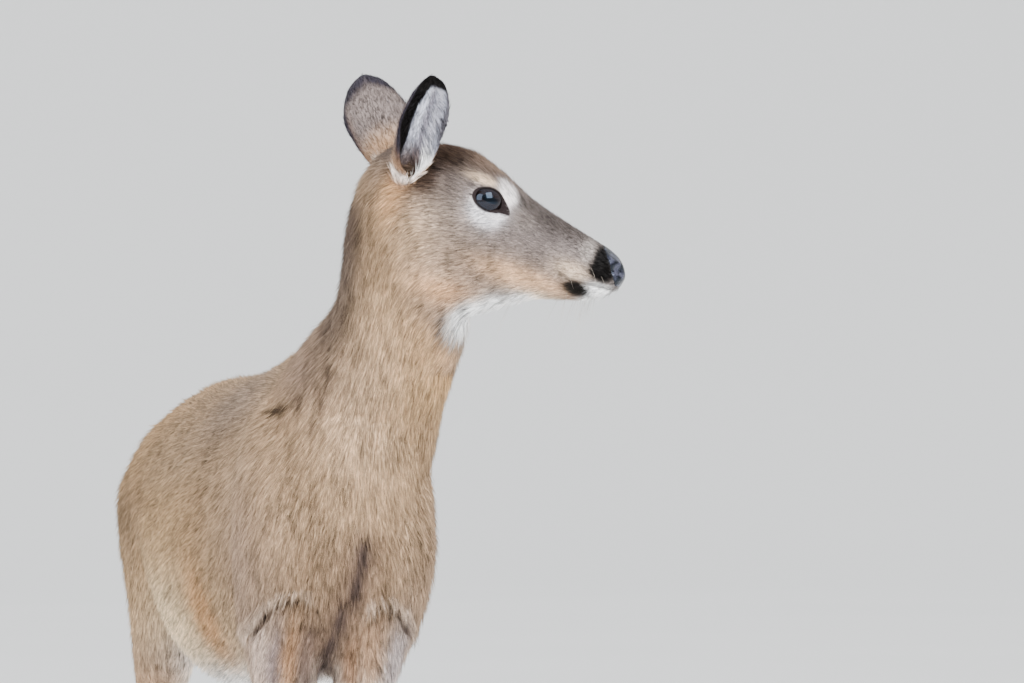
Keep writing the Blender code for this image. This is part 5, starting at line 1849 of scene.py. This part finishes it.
@dataclass
class Whiskers:
    """The long hairs of muzzle, chin and throat."""

    head: HeadAxes
    ground: BVHTree
    seed: int = 5
    around: int = 3
    steps: int = 7
    thickness: float = 0.00017

    def plan(self) -> list[Whisker]:
        """Where the whiskers stand."""
        chance = np.random.default_rng(self.seed)
        out = []
        for side in (-1, 1):
            for along, up, length in ((0.134, -0.026, 0.026), (0.126, -0.034, 0.032), (0.14, -0.034, 0.026),
                                      (0.118, -0.028, 0.026), (0.11, -0.038, 0.03), (0.148, -0.03, 0.02)):
                out.append(Whisker((along, side * 0.026, up), (0.35, side * 1.0, -0.35), length))
            for _ in range(9):
                along = chance.uniform(0.118, 0.16)
                root = (along, side * chance.uniform(0.002, 0.014), -0.056)
                way = (chance.uniform(-0.25, 0.35), side * 0.25, -1.0)
                out.append(Whisker(root, way, chance.uniform(0.022, 0.048)))
            out.append(Whisker((0.072, side * 0.01, -0.095), (-0.05, side * 0.2, -1.0), 0.046, 0.1))
            for angle in (-0.4, 0.0, 0.5):
                root = (0.012 + 0.01 * angle, side * 0.048, 0.03)
                out.append(Whisker(root, (0.5 + angle, side * 0.8, 0.7), 0.016))
        return out

    def build(self) -> Object:
        """Makes all the whiskers as one piece."""
        points, faces, along = [], [], []
        for whisker in self.plan():
            wanted = self.head.world(whisker.root)
            hit = self.ground.find_nearest(Vector(wanted.tolist()))
            root = np.array(hit[0]) - np.array(hit[1]) * 0.001
            way = unit(self.head.turned(whisker.towards))
            side = unit(np.cross(way, UP + 0.01))
            start = len(points)
            for step in range(self.steps):
                share = step / (self.steps - 1)
                middle = root + way * (whisker.length * share)
                middle = middle - UP * (whisker.length * whisker.droop * share**2)
                radius = self.thickness * (1.0 - 0.85 * share)
                other = np.cross(way, side)
                for corner in range(self.around):
                    turn = 2 * math.pi * corner / self.around
                    points.append(middle + radius * (side * math.cos(turn) + other * math.sin(turn)))
                    along.append(share)
            faces += [tuple(start + i for i in f) for f in grid_faces(self.steps, self.around, closed=True)]
            faces.append(tuple(start + i for i in reversed(range(self.around))))
            faces.append(tuple(start + (self.steps - 1) * self.around + i for i in range(self.around)))
        mesh = mesh_from("whiskers", points, faces)
        face_outwards(mesh)
        store(mesh, "along", along)
        return add_object("whiskers", mesh)


@dataclass
class Hooves:
    """The horn claws, with their edges worn round."""

    edge: float = 0.0016
    segments: int = 3
    sharp: float = math.radians(38)

    def build(self, node: str) -> Object:
        """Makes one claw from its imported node.

        Args:
            node: the node's name.

        Returns:
            The finished claw.
        """
        rough = add_object(node + "_rough", frame["nodes"][node].data.copy())
        with opened(rough.data) as shell:
            bmesh.ops.remove_doubles(shell, verts=shell.verts, dist=1e-5)
            bmesh.ops.dissolve_limit(shell, angle_limit=0.01, verts=shell.verts, edges=shell.edges)
        worn = rough.modifiers.new("worn", "BEVEL")
        worn.width, worn.segments = self.edge, self.segments
        worn.limit_method, worn.angle_limit = "ANGLE", self.sharp
        made = evaluated(rough, node + "_horn")
        bpy.data.objects.remove(rough)
        made.polygons.foreach_set("use_smooth", [True] * len(made.polygons))
        return add_object(node + "_horn", made)


# ---- studio ----
@dataclass
class Studio:
    """A pale floor that rises far off into a round backdrop, soft lights and the camera."""

    head: HeadAxes
    view_angle: float = math.radians(-12.0)
    distance: float = 12.0
    lens: float = 383.5
    sensor: float = 36.0
    aim_right: float = 0.0264        # from the right eye, in the picture's plane
    aim_down: float = 0.1557
    flat_radius: float = 24.0
    wall_radius: float = 34.0
    wall_height: float = 16.0
    sky: tuple[float, float] = (1.0, 2.1)    # how bright at the horizon and overhead

    def build(self) -> None:
        """Makes floor, lights, sky and camera."""
        self.build_floor()
        for name, place, size, power, colour in (
                ("key", (1.2, -4.6, 3.6), 3.4, 760.0, (1.0, 0.99, 0.97)),
                ("fill", (-3.8, -3.0, 2.6), 3.4, 360.0, (0.97, 0.985, 1.0)),
                ("back", (-1.2, 3.6, 3.4), 3.0, 240.0, (1.0, 0.99, 0.98))):
            self.build_light(name, np.array(place), size, power, colour)
        world = bpy.data.worlds.new("sky")
        world.use_nodes = True
        w = Wiring(world.node_tree)
        sight = w.node("ShaderNodeTexCoord").outputs["Generated"]
        way = w.node("ShaderNodeSeparateXYZ", {0: sight}).outputs[2]
        background = world.node_tree.nodes["Background"]
        background.inputs["Color"].default_value = (0.95, 0.97, 1.0, 1.0)
        w.tree.links.new(w.ranged(way, -0.1, 0.9, *self.sky), background.inputs["Strength"])
        bpy.context.scene.world = world
        self.build_camera()

    def build_floor(self) -> None:
        """A disc whose rim curls up out of sight."""
        profile = [(0.0, 0.0), (1.5, 0.0), (8.0, 0.0), (self.flat_radius, 0.0)]
        for turn in np.linspace(0.1, 1.0, 12) * math.pi / 2:
            profile.append((self.flat_radius + (self.wall_radius - self.flat_radius) * math.sin(turn),
                            self.wall_height * (1 - math.cos(turn))))
        around = 96
        turns = [2 * math.pi * step / around for step in range(around)]
        points = [(0.0, 0.0, 0.0)]
        points += [(r * math.cos(t), r * math.sin(t), z) for r, z in profile[1:] for t in turns]
        faces = [(0, 1 + step, 1 + (step + 1) % around) for step in range(around)]
        faces += [tuple(1 + i for i in f[::-1]) for f in grid_faces(len(profile) - 1, around, closed=True)]
        mesh = mesh_from("studio_floor", points, faces)
        mesh.materials.append(StudioFinish().build())
        floor = add_object("studio_floor", mesh)

    def build_light(self, name: str, place: Array, size: float, power: float, colour: Rgb) -> None:
        """A soft square light that faces the animal's chest.

        Args:
            name: the light's name.
            place: where it stands.
            size: the length of its edge.
            power: in watts.
            colour: linear red, green and blue.
        """
        data = bpy.data.lights.new(name, "AREA")
        data.shape, data.size, data.energy, data.color = "SQUARE", size, power, colour
        light = add_object(name, data)
        light.location = place.tolist()
        aim = Vector((-0.05, -0.25, 0.75)) - light.location
        light.rotation_euler = aim.to_track_quat("-Z", "Y").to_euler()
        light.visible_camera = False

    def build_camera(self) -> None:
        """The camera, level with the animal's neck and a little to its right."""
        back = np.array((math.sin(self.view_angle), -math.cos(self.view_angle), 0.0))
        right = np.array((math.cos(self.view_angle), math.sin(self.view_angle), 0.0))
        aim = node_middle("eye_right") + right * self.aim_right - UP * self.aim_down
        data = bpy.data.cameras.new("camera")
        data.sensor_width, data.lens = self.sensor, self.lens
        data.clip_start, data.clip_end = 0.1, 120.0
        camera = add_object("camera", data)
        camera.location = (aim + back * self.distance).tolist()
        camera.rotation_euler = Vector((-back).tolist()).to_track_quat("-Z", "Y").to_euler()
        bpy.context.scene.camera = camera


# ---- putting it together ----
def join_into(target: Object, others: Sequence[Object]) -> None:
    """Joins other meshes into the target's mesh, with their fields."""
    with bpy.context.temp_override(active_object=target, object=target,
                                   selected_editable_objects=[target, *others],
                                   selected_objects=[target, *others]):
        bpy.ops.object.join()


def thin(hide: Object, head: HeadAxes) -> None:
    """Merges small faces of the hide behind and below the head, where the coat covers it.

    Args:
        hide: the finished hide.
        head: the head's axes.
    """
    along, side, up = head.local(points_of(hide.data)).T
    covered = (along < -0.16) | (up < -0.18) | (np.abs(side) > 0.22)
    body = hide.vertex_groups.new(name="body")
    body.add(np.flatnonzero(covered).tolist(), 1.0, "REPLACE")
    count = sum(len(face.vertices) - 2 for face in hide.data.polygons)
    merge = hide.modifiers.new("thin", "DECIMATE")
    merge.vertex_group, merge.vertex_group_factor = body.name, 1000.0
    merge.ratio = SKIN_TRIANGLES / count
    fine = hide.data
    hide.data = evaluated(hide, "thin")
    hide.modifiers.clear()
    hide.vertex_groups.clear()
    bpy.data.meshes.remove(fine)
    hide.data.name = hide.name
    LOG.info("deer_skin: %d triangles of %d", len(hide.data.polygons), count)


def main() -> None:
    """Builds the deer, piece by piece, and the studio round it."""
    logging.basicConfig(level=logging.INFO, format="%(message)s")
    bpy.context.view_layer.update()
    head, body = HeadAxes(), BodyAxes()
    studio = Studio(head)
    studio.build()

    eyes = [Eye(word, head) for word in ("right", "left")]
    skin = Skin(head, body, eyes)
    hide = add_object("deer_skin", skin.build())
    store(hide.data, "unwrap", np.zeros((len(hide.data.vertices), 3)))
    ears = [
        Ear("right", head, root=(-0.091, -0.036, -0.0215), points=(0.204, -0.611, 0.763),
            opens=(0.38, -0.8, -0.46), length=0.144, breadth=0.79),
        Ear("left", head, root=(-0.097, 0.03, -0.006), points=(-0.24, 0.64, 0.73),
            opens=(0.1, 0.8, -0.5)),
    ]
    small = [add_object(f"ear_{ear.word}_shell", ear.build()) for ear in ears]
    small += [add_object(f"lids_{eye.word}", Lids(eye).build()) for eye in eyes]
    join_into(hide, small)
    hide.data.materials.clear()
    for finish in (HideFinish(), NoseFinish()):
        hide.data.materials.append(finish.build())
    bare = read(hide.data.attributes["bare"].data, "value")
    on_pad = [int(bare[list(p.vertices)].mean() > 0.5) for p in hide.data.polygons]
    hide.data.polygons.foreach_set("material_index", on_pad)
    hide.data.polygons.foreach_set("use_smooth", [True] * len(on_pad))

    tufts = Tufts()
    tufts.build()
    coat = Coat(hide, head, body, tufts.collection, CoatFinish().build())
    coat.build_tree()
    for piece in COAT_PIECES:
        grown = coat.grow(piece)
        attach(grown, "root")
    tufts.remove()

    ground = BVHTree.FromPolygons([v.co[:] for v in hide.data.vertices],
                                  [p.vertices[:] for p in hide.data.polygons])
    whiskers = Whiskers(head, ground).build()
    whiskers.data.materials.append(WhiskerFinish().build())
    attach(whiskers, "root")
    LOG.info("whiskers: %d faces", len(whiskers.data.polygons))

    thin(hide, head)
    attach(hide, "root")
    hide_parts(*FLESH, *EARS)

    eye_material = EyeFinish().build()
    for eye in eyes:
        ball = EyeBall(eye).build()
        ball.data.materials.append(eye_material)
        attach(ball, "root")
        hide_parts(f"eye_{eye.word}")
        LOG.info("eyeball_%s: %d faces", eye.word, len(ball.data.polygons))

    horn = HornFinish().build()
    for node in sorted(frame["nodes"]):
        if node.startswith(("hoof_", "dewclaw_")):
            claw = Hooves().build(node)
            claw.data.materials.clear()
            claw.data.materials.append(horn)
            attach(claw, "root")
            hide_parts(node)
    LOG.info("hooves and dewclaws done")


if __name__ == "__main__":
    main()
